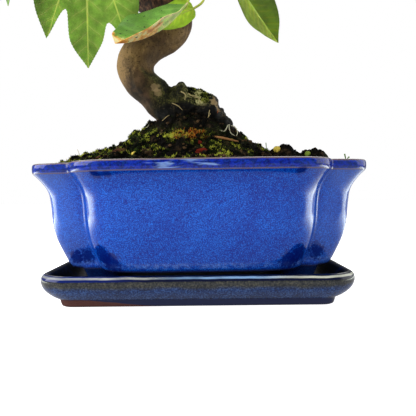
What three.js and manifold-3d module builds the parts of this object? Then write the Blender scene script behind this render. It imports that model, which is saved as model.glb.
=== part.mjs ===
// An apple bonsai: an S-shaped tree with large lobed and oval leaves. It grows from a mound of soil in a
// quatrefoil glazed pot, which stands on four feet in a shallow glazed saucer.
// Millimetres, +Z up, the front faces -Y. The origin is on the ground under the middle of the pot.

import * as THREE from "three";
import { mergeVertices } from "three/addons/utils/BufferGeometryUtils.js";
import Module from "manifold-3d";

const wasm = await Module();
wasm.setup();

const DEG = Math.PI / 180;
const UP = new THREE.Vector3(0, 0, 1);
const vec = (p) => new THREE.Vector3(p[0], p[1], p[2]);

// Clearance between pieces that touch, and the distance under which two corners count as one.
const GAP = 0.3;
const SAME_POINT = 1e-4;

// Saucer: a rounded rectangle with a rolled lip and an unglazed foot. Its middle lies a little to the left.
const SAUCER = { x: -1.2, halfWidth: 96.2, halfDepth: 69, corner: 22, floorZ: 8.5 };

// Pot: the rim's half width and half depth, and the heights that its parts share. It stands a little turned
// (in degrees) in its saucer, and its rim rises a little from left to right.
const POT = { halfWidth: 108, halfDepth: 78, baseZ: 20, floorZ: 27, rimZ: 86.9, rise: 0.7, turn: 1.6 };

// The quatrefoil is two crossed superellipses, and each direction takes the outer one.
const FRONT_LOBE = { a: 82.3, b: POT.halfDepth, n: 5 };
const SIDE_LOBE = { a: POT.halfWidth, b: 50.5, n: 7 };
const LOBE_STEPS = 6;

// Feet under the pot's four corners, drain holes in its floor, and the plastic nets over them.
const FOOT = { x: 62.5, y: 30, halfX: 10, halfY: 8.5, corner: 4, splay: 0.86, flare: 1.06, waistZ: 11 };
const DRAIN = { x: 36, radius: 7 };
const MESH = { side: 24, thick: 1.2, holes: 3, hole: 5.2 };

// Soil: its level at the pot's wall, and the mounds on it as [x, y, width x, width y, height].
const SOIL_EDGE_Z = 83.4;
const MOUNDS = [
  [-6, 3, 46, 40, 43],
  [-82, -4, 26, 40, 7],
  [60, -8, 8, 9, 13],
  [80, -6, 10, 12, 14],
  [30, 34, 22, 20, 6],
  [-48, 30, 24, 22, 5],
];

// Blade thickness, which is a little over the real leaf's so that the solid holds.
const BLADE = 0.7;
// How far a blade's edge waves, as a share of its length, and the waves' radians along it.
const WAVE = { height: 0.012, turns: 14 };
// A shoot's stem starts clear of the wood and tapers. Its petioles bend a little way out and run on into
// their blades.
const STEM = { clear: 0.45, radii: [1.5, 1.35, 1.2, 0.95] };
const PETIOLE = { radii: [0.8, 0.8, 0.8, 0.55], bend: 7, lift: 1.5, inBlade: 5 };
const SPUR_RADII = [2, 1.7];
// Drawn leaves wind round the stem. Each pair gives the least value and the range above it.
const WINDING = 137.5;
const DRAWN = {
  reach: [12, 7],
  droop: [0.3, 0.5],
  length: [46, 16],
  fold: [0.12, 0.2],
  curl: [20, 30],
};

// Outlines of the three kinds of leaf, from one side of the base round the tip to the other: degrees off the
// midrib, then distance from the base as a share of the leaf's length.
const OUTLINES = {
  lobed: [
    [-64, 0.18], [-46, 0.48], [-33, 0.67], [-19.3, 0.85], [-13.7, 0.7], [-8, 0.82], [0, 1],
    [8, 0.82], [15.1, 0.578], [20.6, 0.825], [33, 0.67], [46, 0.48], [64, 0.18],
  ],
  oval: [
    [-58, 0.16], [-38, 0.46], [-24, 0.636], [-12, 0.8], [-4.5, 0.91], [0, 1],
    [4.5, 0.91], [12, 0.8], [24, 0.636], [38, 0.46], [58, 0.16],
  ],
  ovate: [
    [-90, 0.12], [-68, 0.33], [-40, 0.5], [-22, 0.67], [-8.5, 0.81], [0, 1],
    [8.5, 0.81], [22, 0.67], [40, 0.5], [68, 0.33], [90, 0.12],
  ],
};
// A blade's three inner points: degrees off the midrib and distance from the base. They carry its fold and
// its arch.
const INNER = [[-32, 0.34], [0, 0.52], [32, 0.34]];

// The tree's woody parts: points on the axis, the radius at each, sides and steps.
const TRUNK = {
  points: [
    [-6, 4, 76], [-8, 3, 104], [-20, 0, 125], [-35, -3, 139.5], [-43, -4, 156], [-35.2, -3, 169.5],
    [-20.2, 0, 179], [-17, 2, 191], [-32, 5, 203], [-44, 7, 214], [-51, 6, 228], [-43, 3, 243],
    [-27, -1, 255], [-17, -3, 268], [-20, -3, 283], [-31, 0, 297], [-36, 2, 312], [-32, 2, 326],
  ],
  radii: [12, 15, 12.2, 13.2, 13.6, 12.6, 12.3, 12, 11.6, 11, 10.2, 9.2, 8.3, 7.4, 6.2, 5.2, 4.2, 3],
  sides: 10,
  steps: 32,
};
const ROOTS = [
  {
    points: [[-30, -2, 124], [-13, -3, 133], [3, -3, 124.6], [15, -3, 117], [26, -3, 98]],
    radii: [8.6, 10, 8.8, 7, 4],
  },
  { points: [[-18, 4, 116], [-8, 24, 110], [0, 44, 94]], radii: [10, 7, 4] },
  { points: [[-20, 4, 116], [-36, 16, 106], [-50, 32, 92]], radii: [8, 5.5, 3.5] },
  { points: [[-16, -4, 112], [-32, -20, 102], [-44, -36, 90]], radii: [8, 5, 3] },
];
const BRANCHES = [
  { points: [[-50, 6, 228], [-66, -6, 237], [-79, -17, 242], [-90, -30, 244]], radii: [5, 3.8, 2.9, 2.2] },
  { points: [[-18, -3, 266], [6, 3, 270], [30, 6, 271], [52, 4, 270]], radii: [4.8, 3.8, 2.9, 2.2] },
  { points: [[-30, 0, 253], [-12, 26, 261], [4, 40, 265], [16, 50, 268]], radii: [4.4, 3.4, 2.7, 2.1] },
  { points: [[-49, 6, 232], [-60, 24, 246], [-69, 38, 256], [-76, 50, 262]], radii: [4.4, 3.4, 2.7, 2.1] },
  { points: [[-31, 0, 297], [-50, -5, 304], [-68, -8, 308], [-84, -8, 311]], radii: [3.6, 2.9, 2.3, 2] },
  { points: [[-25, -1, 290], [-6, -9, 304], [16, -15, 313], [38, -19, 318]], radii: [3.6, 2.9, 2.3, 2] },
  { points: [[-25, -1, 257], [-27, -22, 268], [-26, -40, 275], [-24, -56, 279]], radii: [3.8, 3, 2.4, 2] },
  { points: [[-33, 1, 302], [-30, 22, 312], [-26, 42, 318]], radii: [3.2, 2.5, 2] },
];

// Leafy shoots. Each leaves the wood between the points from and start, then runs on for its length and
// lifts at its tip. Its leaves are drawn from its seed, after any that are placed one by one.
const SHOOTS = [
  {
    name: "shoot_left_tip", from: [-90, -30, 244], start: [-97, -33, 246],
    length: 26, lift: 3, leaves: 5, seed: 106,
  },
  {
    name: "shoot_left_back", from: [-78, -16, 241.5], start: [-81, -7, 246],
    length: 20, lift: 6, leaves: 3, seed: 75,
  },
  {
    name: "shoot_right_tip", from: [52, 4, 270], start: [59, 3, 271],
    length: 26, lift: 4, leaves: 5, seed: 52,
  },
  {
    name: "shoot_right_front", from: [28, 6, 271], start: [32, -3, 274],
    length: 20, lift: 3, leaves: 3, seed: 4,
  },
  {
    name: "shoot_back_right", from: [16, 50, 268], start: [19, 57, 270],
    length: 24, lift: 5, leaves: 4, seed: 113,
  },
  {
    name: "shoot_back_left", from: [-76, 50, 262], start: [-80, 57, 264],
    length: 24, lift: 5, leaves: 4, seed: 14,
  },
  {
    name: "shoot_back_middle", from: [-12, 26, 261], start: [-20, 32, 267],
    length: 20, lift: 6, leaves: 3, seed: 3,
  },
  {
    name: "shoot_upper_left", from: [-84, -8, 311], start: [-91, -8, 313],
    length: 24, lift: 5, leaves: 4, seed: 126,
  },
  {
    name: "shoot_upper_right", from: [38, -19, 318], start: [44, -21, 320],
    length: 24, lift: 5, leaves: 4, seed: 28,
  },
  {
    name: "shoot_front", from: [-24, -56, 279], start: [-23, -63, 281],
    length: 24, lift: 3, leaves: 4, seed: 95,
  },
  {
    name: "shoot_upper_back", from: [-26, 42, 318], start: [-25, 49, 321],
    length: 22, lift: 5, leaves: 4, seed: 21,
  },
  {
    name: "shoot_apex", from: [-32, 2, 326], start: [-30, 2, 333],
    length: 24, lift: 4, leaves: 5, seed: 125,
  },
  {
    name: "shoot_low_left", from: [-72, -12, 239], start: [-73, -22, 240],
    length: 26, lift: 2, leaves: 2, seed: 121,
    placed: [
      {
        along: 0.9, bend: [-67.5, -51, 236], base: [-65.3, -52, 221.6], heading: [0.02, -0.126, -0.992],
        face: [0.16, -0.98, 0.126], kind: "lobed", length: 79.6, fold: 0.05, curl: 12, phase: 0,
      },
      {
        along: 0.2, bend: [-74, -27, 232], base: [-74, -28, 215], heading: [0.66, -0.2, -0.72],
        face: [0.5, -0.7, 0.5], kind: "oval", length: 47, fold: 0.15, curl: 20, phase: 2,
      },
      {
        along: 0.7, bend: [-90, -42, 246], base: [-104, -40, 236], heading: [-0.42, 0.1, -0.9],
        face: [-0.6, -0.7, 0.3], kind: "oval", length: 52, fold: 0.2, curl: 15, phase: 1,
      },
    ],
  },
  {
    name: "shoot_low_front", from: [-21, -1, 197], start: [-7, -20, 209],
    length: 30, lift: 0, leaves: 2, seed: 36,
    placed: [
      {
        along: 0.6, bend: [-1, -47, 199], base: [-5.6, -50, 182], heading: [-0.48, -0.28, -0.832],
        face: [-0.526, -0.667, 0.527], kind: "oval", length: 60.5, fold: 0.6, curl: -47, phase: 0,
      },
      {
        along: 0.35, bend: [4.5, -21, 196], base: [0, -18, 190], heading: [-0.9, -0.12, -0.4],
        face: [0.1, -0.95, 0.25], kind: "ovate", length: 34, fold: 0.12, curl: 15, phase: 0,
      },
      {
        along: 0.85, bend: [20, -38, 213], base: [24, -35, 201.1], heading: [0.528, 0.005, -0.85],
        face: [-0.673, -0.608, -0.421], kind: "oval", length: 47.6, fold: -0.41, curl: 8, phase: 0,
      },
    ],
  },
];

// A number from 0 to 1 that depends only on the seed and k: the fraction left by a large multiple of a sine.
function draw(seed, k) {
  const s = Math.sin(seed * 12.9898 + k * 78.233) * 43758.5453;
  return s - Math.floor(s);
}

// A closed surface through rings of points, which run anticlockwise seen from the last ring. Each end is
// closed by a fan to its middle.
function loft(rings) {
  const n = rings[0].length;
  const middle = (ring) => ring.reduce((sum, p) => sum.add(p), new THREE.Vector3()).divideScalar(n);
  const points = [...rings.flat(), middle(rings[0]), middle(rings.at(-1))];
  const first = rings.length * n;
  const top = (rings.length - 1) * n;
  const index = [];
  for (let j = 0; j < n; j++) {
    const k = (j + 1) % n;
    for (let i = 0; i < top; i += n) {
      index.push(i + j, i + k, i + n + k, i + j, i + n + k, i + n + j);
    }
    index.push(first, k, j, first + 1, top + j, top + k);
  }
  return new THREE.BufferGeometry().setFromPoints(points).setIndex(index);
}

// A geometry as a manifold solid, and back.
function solidOf(geometry) {
  const bare = new THREE.BufferGeometry();
  bare.setAttribute("position", geometry.getAttribute("position"));
  bare.setIndex(geometry.index);
  const merged = mergeVertices(bare, SAME_POINT);
  return new wasm.Manifold(
    new wasm.Mesh({
      numProp: 3,
      vertProperties: new Float32Array(merged.getAttribute("position").array),
      triVerts: new Uint32Array(merged.index.array),
    }),
  );
}

function geometryOf(solid) {
  const mesh = solid.getMesh();
  const geometry = new THREE.BufferGeometry();
  geometry.setAttribute("position", new THREE.BufferAttribute(mesh.vertProperties, 3));
  geometry.setIndex(new THREE.BufferAttribute(mesh.triVerts, 1));
  return geometry;
}

const joined = (solids) => solids.reduce((sum, s) => sum.add(s));

// A tapering tube along a smooth curve through the points.
function tube({ points, radii, sides, steps }, extra = 0) {
  const curve = new THREE.CatmullRomCurve3(points.map(vec), false, "catmullrom", 0.5);
  const rings = [];
  let side = null;
  for (let i = 0; i <= steps; i++) {
    const t = i / steps;
    const along = curve.getTangent(t);
    side = side ?? (Math.abs(along.z) > 0.9 ? new THREE.Vector3(1, 0, 0) : UP.clone());
    side = side.clone().addScaledVector(along, -side.dot(along)).normalize();
    const other = along.clone().cross(side);
    const at = t * (radii.length - 1);
    const k = Math.min(Math.floor(at), radii.length - 2);
    const radius = THREE.MathUtils.lerp(radii[k], radii[k + 1], at - k) + extra;
    const centre = curve.getPoint(t);
    rings.push(
      Array.from({ length: sides }, (_, j) => {
        const a = (j / sides) * 2 * Math.PI;
        return centre
          .clone()
          .addScaledVector(side, radius * Math.cos(a))
          .addScaledVector(other, radius * Math.sin(a));
      }),
    );
  }
  return solidOf(loft(rings));
}

// How far a lobe's superellipse reaches in a direction.
function reach({ a, b, n }, angle) {
  const x = Math.abs(Math.cos(angle) / a);
  const y = Math.abs(Math.sin(angle) / b);
  return (x ** n + y ** n) ** (-1 / n);
}

// The direction, in radians, of the notch where the two superellipses cross, found by halving.
function notchAngle() {
  let low = 0;
  let high = Math.PI / 2;
  for (let i = 0; i < 50; i++) {
    const middle = (low + high) / 2;
    if (reach(SIDE_LOBE, middle) > reach(FRONT_LOBE, middle)) low = middle;
    else high = middle;
  }
  return low;
}

// The quatrefoil's points, anticlockwise. One quarter runs round the side lobe to the notch and on round
// the front lobe, at even steps of the superellipse's own parameter, which crowds them at its corners.
function quatrefoil() {
  const notch = notchAngle();
  const parameter = (lobe, angle) =>
    Math.atan((Math.tan(angle) * (lobe.a / lobe.b)) ** (lobe.n / 2));
  const point = (lobe, t) => [lobe.a * Math.cos(t) ** (2 / lobe.n), lobe.b * Math.sin(t) ** (2 / lobe.n)];
  const sideEnd = parameter(SIDE_LOBE, notch);
  const frontStart = parameter(FRONT_LOBE, notch);
  const quarter = [];
  for (let i = 0; i < LOBE_STEPS; i++) quarter.push(point(SIDE_LOBE, (sideEnd * i) / LOBE_STEPS));
  for (let i = 0; i < LOBE_STEPS; i++)
    quarter.push(point(FRONT_LOBE, frontStart + ((Math.PI / 2 - frontStart) * i) / LOBE_STEPS));
  quarter.push([0, FRONT_LOBE.b]);
  const mirrored = quarter.slice(1).reverse();
  const half = [...quarter, ...mirrored.slice(1).map(([x, y]) => [-x, y])];
  half.push([-SIDE_LOBE.a, 0]);
  return [...half, ...half.slice(1, -1).reverse().map(([x, y]) => [x, -y])];
}

const OUTLINE = quatrefoil();

// A place in the pot, turned as the pot stands.
const turned = (x, y, z = 0) => new THREE.Vector3(x, y, z).applyAxisAngle(UP, POT.turn * DEG);

// The quatrefoil drawn in from the rim by dx at the sides and dy at front and back, at height z, which rises
// to the right in step with the height over the base.
function potRing([dx, dy, z]) {
  const share = (z - POT.baseZ) / (POT.rimZ - POT.baseZ);
  return OUTLINE.map(([x, y]) =>
    turned(
      x * (1 - dx / POT.halfWidth),
      y * (1 - dy / POT.halfDepth),
      z + (POT.rise * share * x) / POT.halfWidth,
    ),
  );
}

// A rounded rectangle of half sizes a and b, with the given steps round each corner.
function roundedRing(a, b, radius, z, steps, x = 0, y = 0) {
  const ring = [];
  for (const [sx, sy, start] of [[1, 1, 0], [-1, 1, 90], [-1, -1, 180], [1, -1, 270]]) {
    for (let i = 0; i <= steps; i++) {
      const angle = (start + (90 * i) / steps) * DEG;
      ring.push(
        new THREE.Vector3(
          x + sx * (a - radius) + radius * Math.cos(angle),
          y + sy * (b - radius) + radius * Math.sin(angle),
          z,
        ),
      );
    }
  }
  return ring;
}

// A plain block between two corners.
function block(low, high) {
  const size = high.map((h, i) => h - low[i]);
  const geometry = new THREE.BoxGeometry(...size);
  geometry.translate(...low.map((l, i) => l + size[i] / 2));
  return solidOf(geometry);
}

function upright(radius, low, high, x, y, sides = 12) {
  const geometry = new THREE.CylinderGeometry(radius, radius, high - low, sides);
  geometry.rotateX(Math.PI / 2);
  geometry.translate(x, y, (low + high) / 2);
  return solidOf(geometry);
}

// Saucer: its section, from under the foot, out and round the lip and in to the floor, as the distances in
// from the widest line at the sides and at the front, and the height.
const SAUCER_SECTION = [
  [14.6, 9.8, 0], [13.6, 8.7, 0.5], [12.6, 8.1, 4.3], [9.6, 7, 4.7], [4.8, 4.6, 6.9], [1.7, 1.7, 9.8],
  [0.3, 0.3, 12.9], [0, 0, 15.4], [0.7, 0.7, 17.8], [2.4, 2.4, 19.1], [4.2, 4.2, 19.3], [5.8, 5.8, 18.5],
  [6.8, 6.8, 16.6], [9.6, 9.6, 11.2], [12.4, 12.4, 9], [16, 16, SAUCER.floorZ],
];

function saucerSolid() {
  return solidOf(
    loft(
      SAUCER_SECTION.map(([dx, dy, z]) =>
        roundedRing(SAUCER.halfWidth - dx, SAUCER.halfDepth - dy, SAUCER.corner - dx, z, 5, SAUCER.x),
      ),
    ),
  );
}

// Pot: its wall's section, from under the base, up the belly, over the lip and down to the floor, as the
// distances in from the rim at the sides and at the front, and the height.
const POT_SECTION = [
  [24, 19, POT.baseZ], [21.8, 17.5, 21.6], [16.8, 14.7, 31.6], [13.4, 12.3, 39.5], [11.4, 10.4, 49.5],
  [10.9, 9.7, 61], [9.6, 8.6, 69.5], [4.6, 5.6, 76.3], [1.4, 2.2, 79.5], [0.2, 0.2, 80.8], [0.2, 0.2, 86],
  [1.8, 1.6, POT.rimZ], [7.2, 6.8, POT.rimZ], [9.4, 9, 84], [14.4, 13.2, 71], [20.6, 17.4, 50], [27, 22, 34],
  [34, 28, POT.floorZ],
];

function potSolid() {
  let pot = solidOf(loft(POT_SECTION.map(potRing)));
  const footSection = [[FOOT.splay, SAUCER.floorZ + GAP], [1, FOOT.waistZ], [FOOT.flare, POT.baseZ + 1.5]];
  for (const sx of [-1, 1]) {
    for (const sy of [-1, 1]) {
      const { x, y } = turned(sx * FOOT.x, sy * FOOT.y);
      const rings = footSection.map(([scale, z]) =>
        roundedRing(FOOT.halfX * scale, FOOT.halfY * scale, FOOT.corner, z, 1, x, y),
      );
      pot = pot.add(solidOf(loft(rings)));
    }
    const { x, y } = turned(sx * DRAIN.x, 0);
    pot = pot.subtract(upright(DRAIN.radius, POT.baseZ - 2, POT.floorZ + 2, x, y));
  }
  return pot;
}

// Drainage mesh: a square plate with a grid of holes, which lies over a drain hole.
function drainMesh(x) {
  const z = POT.floorZ + GAP;
  const half = MESH.side / 2;
  let plate = block([x - half, -half, z], [x + half, half, z + MESH.thick]);
  const pitch = MESH.side / MESH.holes;
  for (let i = 0; i < MESH.holes; i++) {
    for (let j = 0; j < MESH.holes; j++) {
      const cx = x - half + pitch * (i + 0.5);
      const cy = -half + pitch * (j + 0.5);
      const r = MESH.hole / 2;
      plate = plate.subtract(block([cx - r, cy - r, z - 1], [cx + r, cy + r, z + 3]));
    }
  }
  return plate.rotate([0, 0, POT.turn]);
}

// Height of the soil: its edge level, the mounds as bell curves, and a low ripple of crumbs.
function soilHeight(x, y) {
  let z = SOIL_EDGE_Z;
  for (const [mx, my, wx, wy, height] of MOUNDS) {
    z += height * Math.exp(-(((x - mx) / wx) ** 2) - ((y - my) / wy) ** 2);
  }
  return z + 0.9 * Math.sin(x * 0.31 + 1.3) * Math.sin(y * 0.37) + 0.6 * Math.sin(x * 0.83 - y * 0.61);
}

// Soil: it fills the pot to a hair from the wall, with a pocket over each mesh and holes for the roots.
const SOIL_WALL = [
  [34.6, 28.5, 27.4], [27.5, 22.5, 34.2], [21.1, 17.9, 50.2], [14.9, 13.7, 71.2], [10.2, 9.6, SOIL_EDGE_Z],
];
const SOIL_SHARES = [0.91, 0.8, 0.68, 0.55, 0.4, 0.22];
const ROOT_CLEARANCE = 0.4;

function soilSolid(roots) {
  const rings = SOIL_WALL.map(potRing);
  const edge = rings.at(-1);
  for (const share of SOIL_SHARES) {
    rings.push(
      edge.map((p) => {
        const [x, y] = [p.x * share, p.y * share];
        return new THREE.Vector3(x, y, soilHeight(x, y));
      }),
    );
  }
  let soil = solidOf(loft(rings)).subtract(roots);
  const half = MESH.side / 2 + GAP;
  for (const x of [-DRAIN.x, DRAIN.x]) {
    const top = POT.floorZ + MESH.thick + 2 * GAP;
    const pocket = block([x - half, -half, POT.floorZ - 1], [x + half, half, top]);
    soil = soil.subtract(pocket.rotate([0, 0, POT.turn]));
  }
  const pieces = soil.decompose();
  return pieces.reduce((most, p) => (p.volume() > most.volume() ? p : most));
}

// Tree: trunk, roots and branches in one piece, with a short spur to the foot of each leafy shoot.
function rootTubes(extra) {
  const roots = ROOTS.map((root) => tube({ ...root, sides: 8, steps: 2 * root.points.length }, extra));
  return joined([tube(TRUNK, extra), ...roots]);
}

function treeSolid() {
  const branches = BRANCHES.map((branch) => tube({ ...branch, sides: 6, steps: 5 }));
  const spurs = SHOOTS.map(({ from, start }) =>
    tube({ points: [from, start], radii: SPUR_RADII, sides: 5, steps: 1 }),
  );
  return joined([rootTubes(0), ...branches, ...spurs]);
}

// A leaf blade. Its base is at the frame's origin, its midrib runs along +Y and its upper face looks +Z. The
// blade folds up along the midrib by fold, arches down by curl degrees from base to tip, and its edge waves.
// Each inner point fans out to its own stretch of the outline, and the three are tied to the base.
function blade({ kind, length, fold, curl, phase }) {
  const outline = OUTLINES[kind];
  const n = outline.length;
  const bend = curl * DEG;
  const radius = length / bend;
  const place = ([angle, distance], lift) => {
    const x = distance * length * Math.sin(angle * DEG);
    const y = distance * length * Math.cos(angle * DEG);
    const wave = Math.sin((WAVE.turns * y) / length + phase) * Math.min(1, (4 * Math.abs(x)) / length);
    const high = radius + fold * Math.abs(x) + WAVE.height * length * wave + lift;
    const turn = (bend * y) / length;
    return new THREE.Vector3(x, Math.sin(turn) * high, Math.cos(turn) * high - radius);
  };
  const spots = [...outline, ...INNER, [0, 0]];
  const points = [BLADE / 2, -BLADE / 2].flatMap((lift) => spots.map((spot) => place(spot, lift)));
  const [left, middle, right, base] = [n, n + 1, n + 2, n + 3];
  const under = spots.length;
  const shoulder = (n - 1) / 2 - (kind === "lobed" ? 2 : 1);
  const index = [];
  const bothFaces = (a, b, c) => index.push(a, c, b, under + a, under + b, under + c);
  const edge = (a, b) => index.push(a, b, under + b, a, under + b, under + a);
  const fan = (inner, from, to) => {
    for (let j = from; j < to; j++) bothFaces(inner, j, j + 1);
  };
  fan(left, 0, shoulder);
  fan(middle, shoulder, n - 1 - shoulder);
  fan(right, n - 1 - shoulder, n - 1);
  bothFaces(left, shoulder, middle);
  bothFaces(right, middle, n - 1 - shoulder);
  bothFaces(base, 0, left);
  bothFaces(base, left, middle);
  bothFaces(base, middle, right);
  bothFaces(base, right, n - 1);
  for (let j = 0; j + 1 < n; j++) edge(j, j + 1);
  edge(n - 1, base);
  edge(base, 0);
  return new THREE.BufferGeometry().setFromPoints(points).setIndex(index);
}

// The leaves of a shoot. Each has its petiole's foot and bend, its base, the way its midrib heads and the way
// its upper face looks. The drawn ones wind round the stem by the golden angle.
function leavesOf(shoot) {
  const start = vec(shoot.start);
  const dir = start.clone().sub(vec(shoot.from)).normalize();
  const stem = (s) =>
    start
      .clone()
      .addScaledVector(dir, STEM.clear + s * shoot.length)
      .addScaledVector(UP, shoot.lift * s * s);
  const leaves = (shoot.placed ?? []).map((leaf) => ({
    ...leaf,
    foot: stem(leaf.along),
    bend: vec(leaf.bend),
    base: vec(leaf.base),
    heading: vec(leaf.heading),
    face: vec(leaf.face),
  }));
  for (let i = 0; i < shoot.leaves; i++) {
    const r = (k) => draw(shoot.seed, 10 * i + k);
    const from = ([least, range], k) => least + range * r(k);
    const last = i === shoot.leaves - 1;
    const s = 0.25 + (0.75 * i) / (shoot.leaves - 1);
    const slope = 2 * shoot.lift * s;
    const along = dir.clone().multiplyScalar(shoot.length).addScaledVector(UP, slope).normalize();
    const side = along.clone().cross(UP).normalize();
    const over = side.clone().cross(along);
    const angle = (WINDING * i + 360 * draw(shoot.seed, 99) + 30 * (r(1) - 0.5)) * DEG;
    const out = side.clone().multiplyScalar(Math.cos(angle)).addScaledVector(over, Math.abs(Math.sin(angle)));
    const way = along.clone().multiplyScalar(last ? 1 : 0.35).addScaledVector(out, last ? 0 : 1).normalize();
    const foot = stem(s);
    const base = foot.clone().addScaledVector(way, from(DRAWN.reach, 2));
    const heading = way.clone().addScaledVector(UP, -from(DRAWN.droop, 3)).normalize();
    const across = heading.clone().cross(UP).normalize();
    const face = across.clone().cross(heading).addScaledVector(across, 0.5 * (r(4) - 0.5));
    leaves.push({
      foot,
      bend: foot.clone().addScaledVector(way, PETIOLE.bend).addScaledVector(UP, PETIOLE.lift),
      base,
      heading,
      face,
      kind: r(5) < 0.4 ? "lobed" : r(5) < 0.9 ? "oval" : "ovate",
      length: from(DRAWN.length, 6),
      fold: from(DRAWN.fold, 7),
      curl: from(DRAWN.curl, 8),
      phase: 6 * r(9),
    });
  }
  return { stem, leaves };
}

function leafSolids(leaf) {
  const y = leaf.heading.clone().normalize();
  const x = y.clone().cross(leaf.face).normalize();
  const z = x.clone().cross(y);
  const frame = new THREE.Matrix4().makeBasis(x, y, z).setPosition(leaf.base);
  const shape = solidOf(blade(leaf).applyMatrix4(frame));
  const inBlade = leaf.base.clone().addScaledVector(y, PETIOLE.inBlade);
  const petiole = tube({
    points: [leaf.foot, leaf.bend, leaf.base, inBlade].map((p) => p.toArray()),
    radii: PETIOLE.radii,
    sides: 3,
    steps: 3,
  });
  return [shape, petiole];
}

function shootSolid(shoot) {
  const { stem, leaves } = leavesOf(shoot);
  const points = [0, 0.33, 0.67, 1].map((s) => stem(s).toArray());
  return joined([tube({ points, radii: STEM.radii, sides: 5, steps: 3 }), ...leaves.flatMap(leafSolids)]);
}

// Materials, as the finishes show in daylight.
const finish = (color, roughness) => new THREE.MeshStandardMaterial({ color, roughness, metalness: 0 });
const BLUE_GLAZE = finish(0x2446a8, 0.15);
const DARK_GLAZE = finish(0x2c3a55, 0.2);
const BARK = finish(0x6b5640, 0.8);
const LEAF = finish(0x5f8f35, 0.5);
const EARTH = finish(0x1e1a14, 0.95);
const NETTING_BLACK = finish(0x2a2c2a, 0.6);

const bonsai = new THREE.Group();

function add(name, solid, material) {
  const mesh = new THREE.Mesh(geometryOf(solid), material);
  mesh.name = name;
  bonsai.add(mesh);
}

add("saucer", saucerSolid(), DARK_GLAZE);
add("pot", potSolid(), BLUE_GLAZE);
add("drain_mesh_left", drainMesh(-DRAIN.x), NETTING_BLACK);
add("drain_mesh_right", drainMesh(DRAIN.x), NETTING_BLACK);
add("soil", soilSolid(rootTubes(ROOT_CLEARANCE)), EARTH);
add("tree", treeSolid(), BARK);
for (const shoot of SHOOTS) add(shoot.name, shootSolid(shoot), LEAF);

export default bonsai;
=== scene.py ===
import itertools
import math
from functools import partial

import bpy
import numpy as np
from mathutils import Matrix


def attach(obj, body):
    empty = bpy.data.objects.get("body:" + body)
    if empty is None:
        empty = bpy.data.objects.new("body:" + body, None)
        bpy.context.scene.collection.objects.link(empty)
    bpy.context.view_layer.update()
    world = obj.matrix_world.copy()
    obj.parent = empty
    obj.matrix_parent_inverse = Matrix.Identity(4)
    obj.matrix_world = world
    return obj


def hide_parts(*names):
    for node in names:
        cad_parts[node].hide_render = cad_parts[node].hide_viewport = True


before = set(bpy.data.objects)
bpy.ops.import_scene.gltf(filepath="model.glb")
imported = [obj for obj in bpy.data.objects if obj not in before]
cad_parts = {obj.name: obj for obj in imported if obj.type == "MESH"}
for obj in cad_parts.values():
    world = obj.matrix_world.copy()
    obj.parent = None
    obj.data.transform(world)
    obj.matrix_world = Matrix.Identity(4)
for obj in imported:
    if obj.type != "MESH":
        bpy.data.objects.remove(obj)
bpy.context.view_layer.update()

# The looks of an apple bonsai in its glazed pot and saucer. Lengths are millimetres until a mesh is made.
mm = 0.001
up = np.array([0.0, 0.0, 1.0])


# Shapes.

# A number from 0 to 1 for each k: the fraction left by a large multiple of a sine.
def draw(seed, k):
    s = math.sin(seed * 12.9898 + k * 78.233) * 43758.5453
    return s - math.floor(s)


# Smooth noise from -1 to 1: a random value at each whole point of space, blended between the eight around.
def noise(points, seed=0):
    cell = np.floor(points).astype(np.int64)
    part = points - cell
    part = part * part * (3 - 2 * part)
    total = np.zeros(len(points))
    for corner in itertools.product((0, 1), repeat=3):
        at = cell + corner
        mixed = (at[:, 0] * 73856093) ^ (at[:, 1] * 19349663) ^ (at[:, 2] * 83492791) ^ (seed * 668265263)
        mixed = ((mixed ^ (mixed >> 15)) * 2246822519) & 0xFFFFFFFF
        mixed = ((mixed ^ (mixed >> 13)) * 3266489917) & 0xFFFFFFFF
        value = ((mixed ^ (mixed >> 16)) & 0xFFFF) / 32767.5 - 1
        total += value * np.prod(np.where(corner, part, 1 - part), axis=1)
    return total


# Layers of noise, each half as large and half as strong as the one before.
def layered(points, size, layers=3, seed=0):
    return sum(noise(points / size * 2 ** k, seed + k) / 2 ** k for k in range(layers))


# 0 below low, 1 above high, and a smooth rise between.
def rise(value, low, high):
    t = np.clip((value - low) / (high - low), 0, 1)
    return t * t * (3 - 2 * t)


# A bell curve, 1 where every value is at its middle: e to the power of minus the squares of their distances
# from it, counted in widths.
def bell(*terms):
    return np.exp(-sum(((value - middle) / width) ** 2 for value, middle, width in terms))


# Vectors at length one.
def unit(vectors):
    return vectors / np.maximum(np.linalg.norm(vectors, axis=-1, keepdims=True), 1e-9)


# Points on a smooth line through the given ones: between two of them, the cubic whose slope at each is half
# the step between its neighbours.
def smoothLine(points, t):
    p = np.asarray(points, float)
    p = np.vstack([2 * p[0] - p[1], p, 2 * p[-1] - p[-2]])
    at = np.clip(t, 0, 1) * (len(p) - 3)
    k = np.minimum(at.astype(int), len(p) - 4)
    u = (at - k)[:, None]
    a, b, c, d = p[k], p[k + 1], p[k + 2], p[k + 3]
    return 0.5 * (
        2 * b + (c - a) * u + (2 * a - 5 * b + 4 * c - d) * u ** 2 + (3 * b - a - 3 * c + d) * u ** 3
    )


# A section with its corners rounded: each round cuts every corner a quarter of the way along its two sides.
def rounded(section, rounds=3):
    line = np.asarray(section, float)
    for _ in range(rounds):
        near = 0.75 * line[:-1] + 0.25 * line[1:]
        far = 0.25 * line[:-1] + 0.75 * line[1:]
        line = np.vstack([line[:1], np.stack([near, far], 1).reshape(-1, line.shape[1]), line[-1:]])
    return line


# A closed outline at even steps of its own length.
def evenly(outline, count):
    ring = np.vstack([outline, outline[:1]])
    length = np.concatenate([[0], np.cumsum(np.linalg.norm(np.diff(ring, axis=0), axis=1))])
    at = np.arange(count) / count * length[-1]
    return np.stack([np.interp(at, length, ring[:, k]) for k in range(ring.shape[1])], 1)


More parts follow.
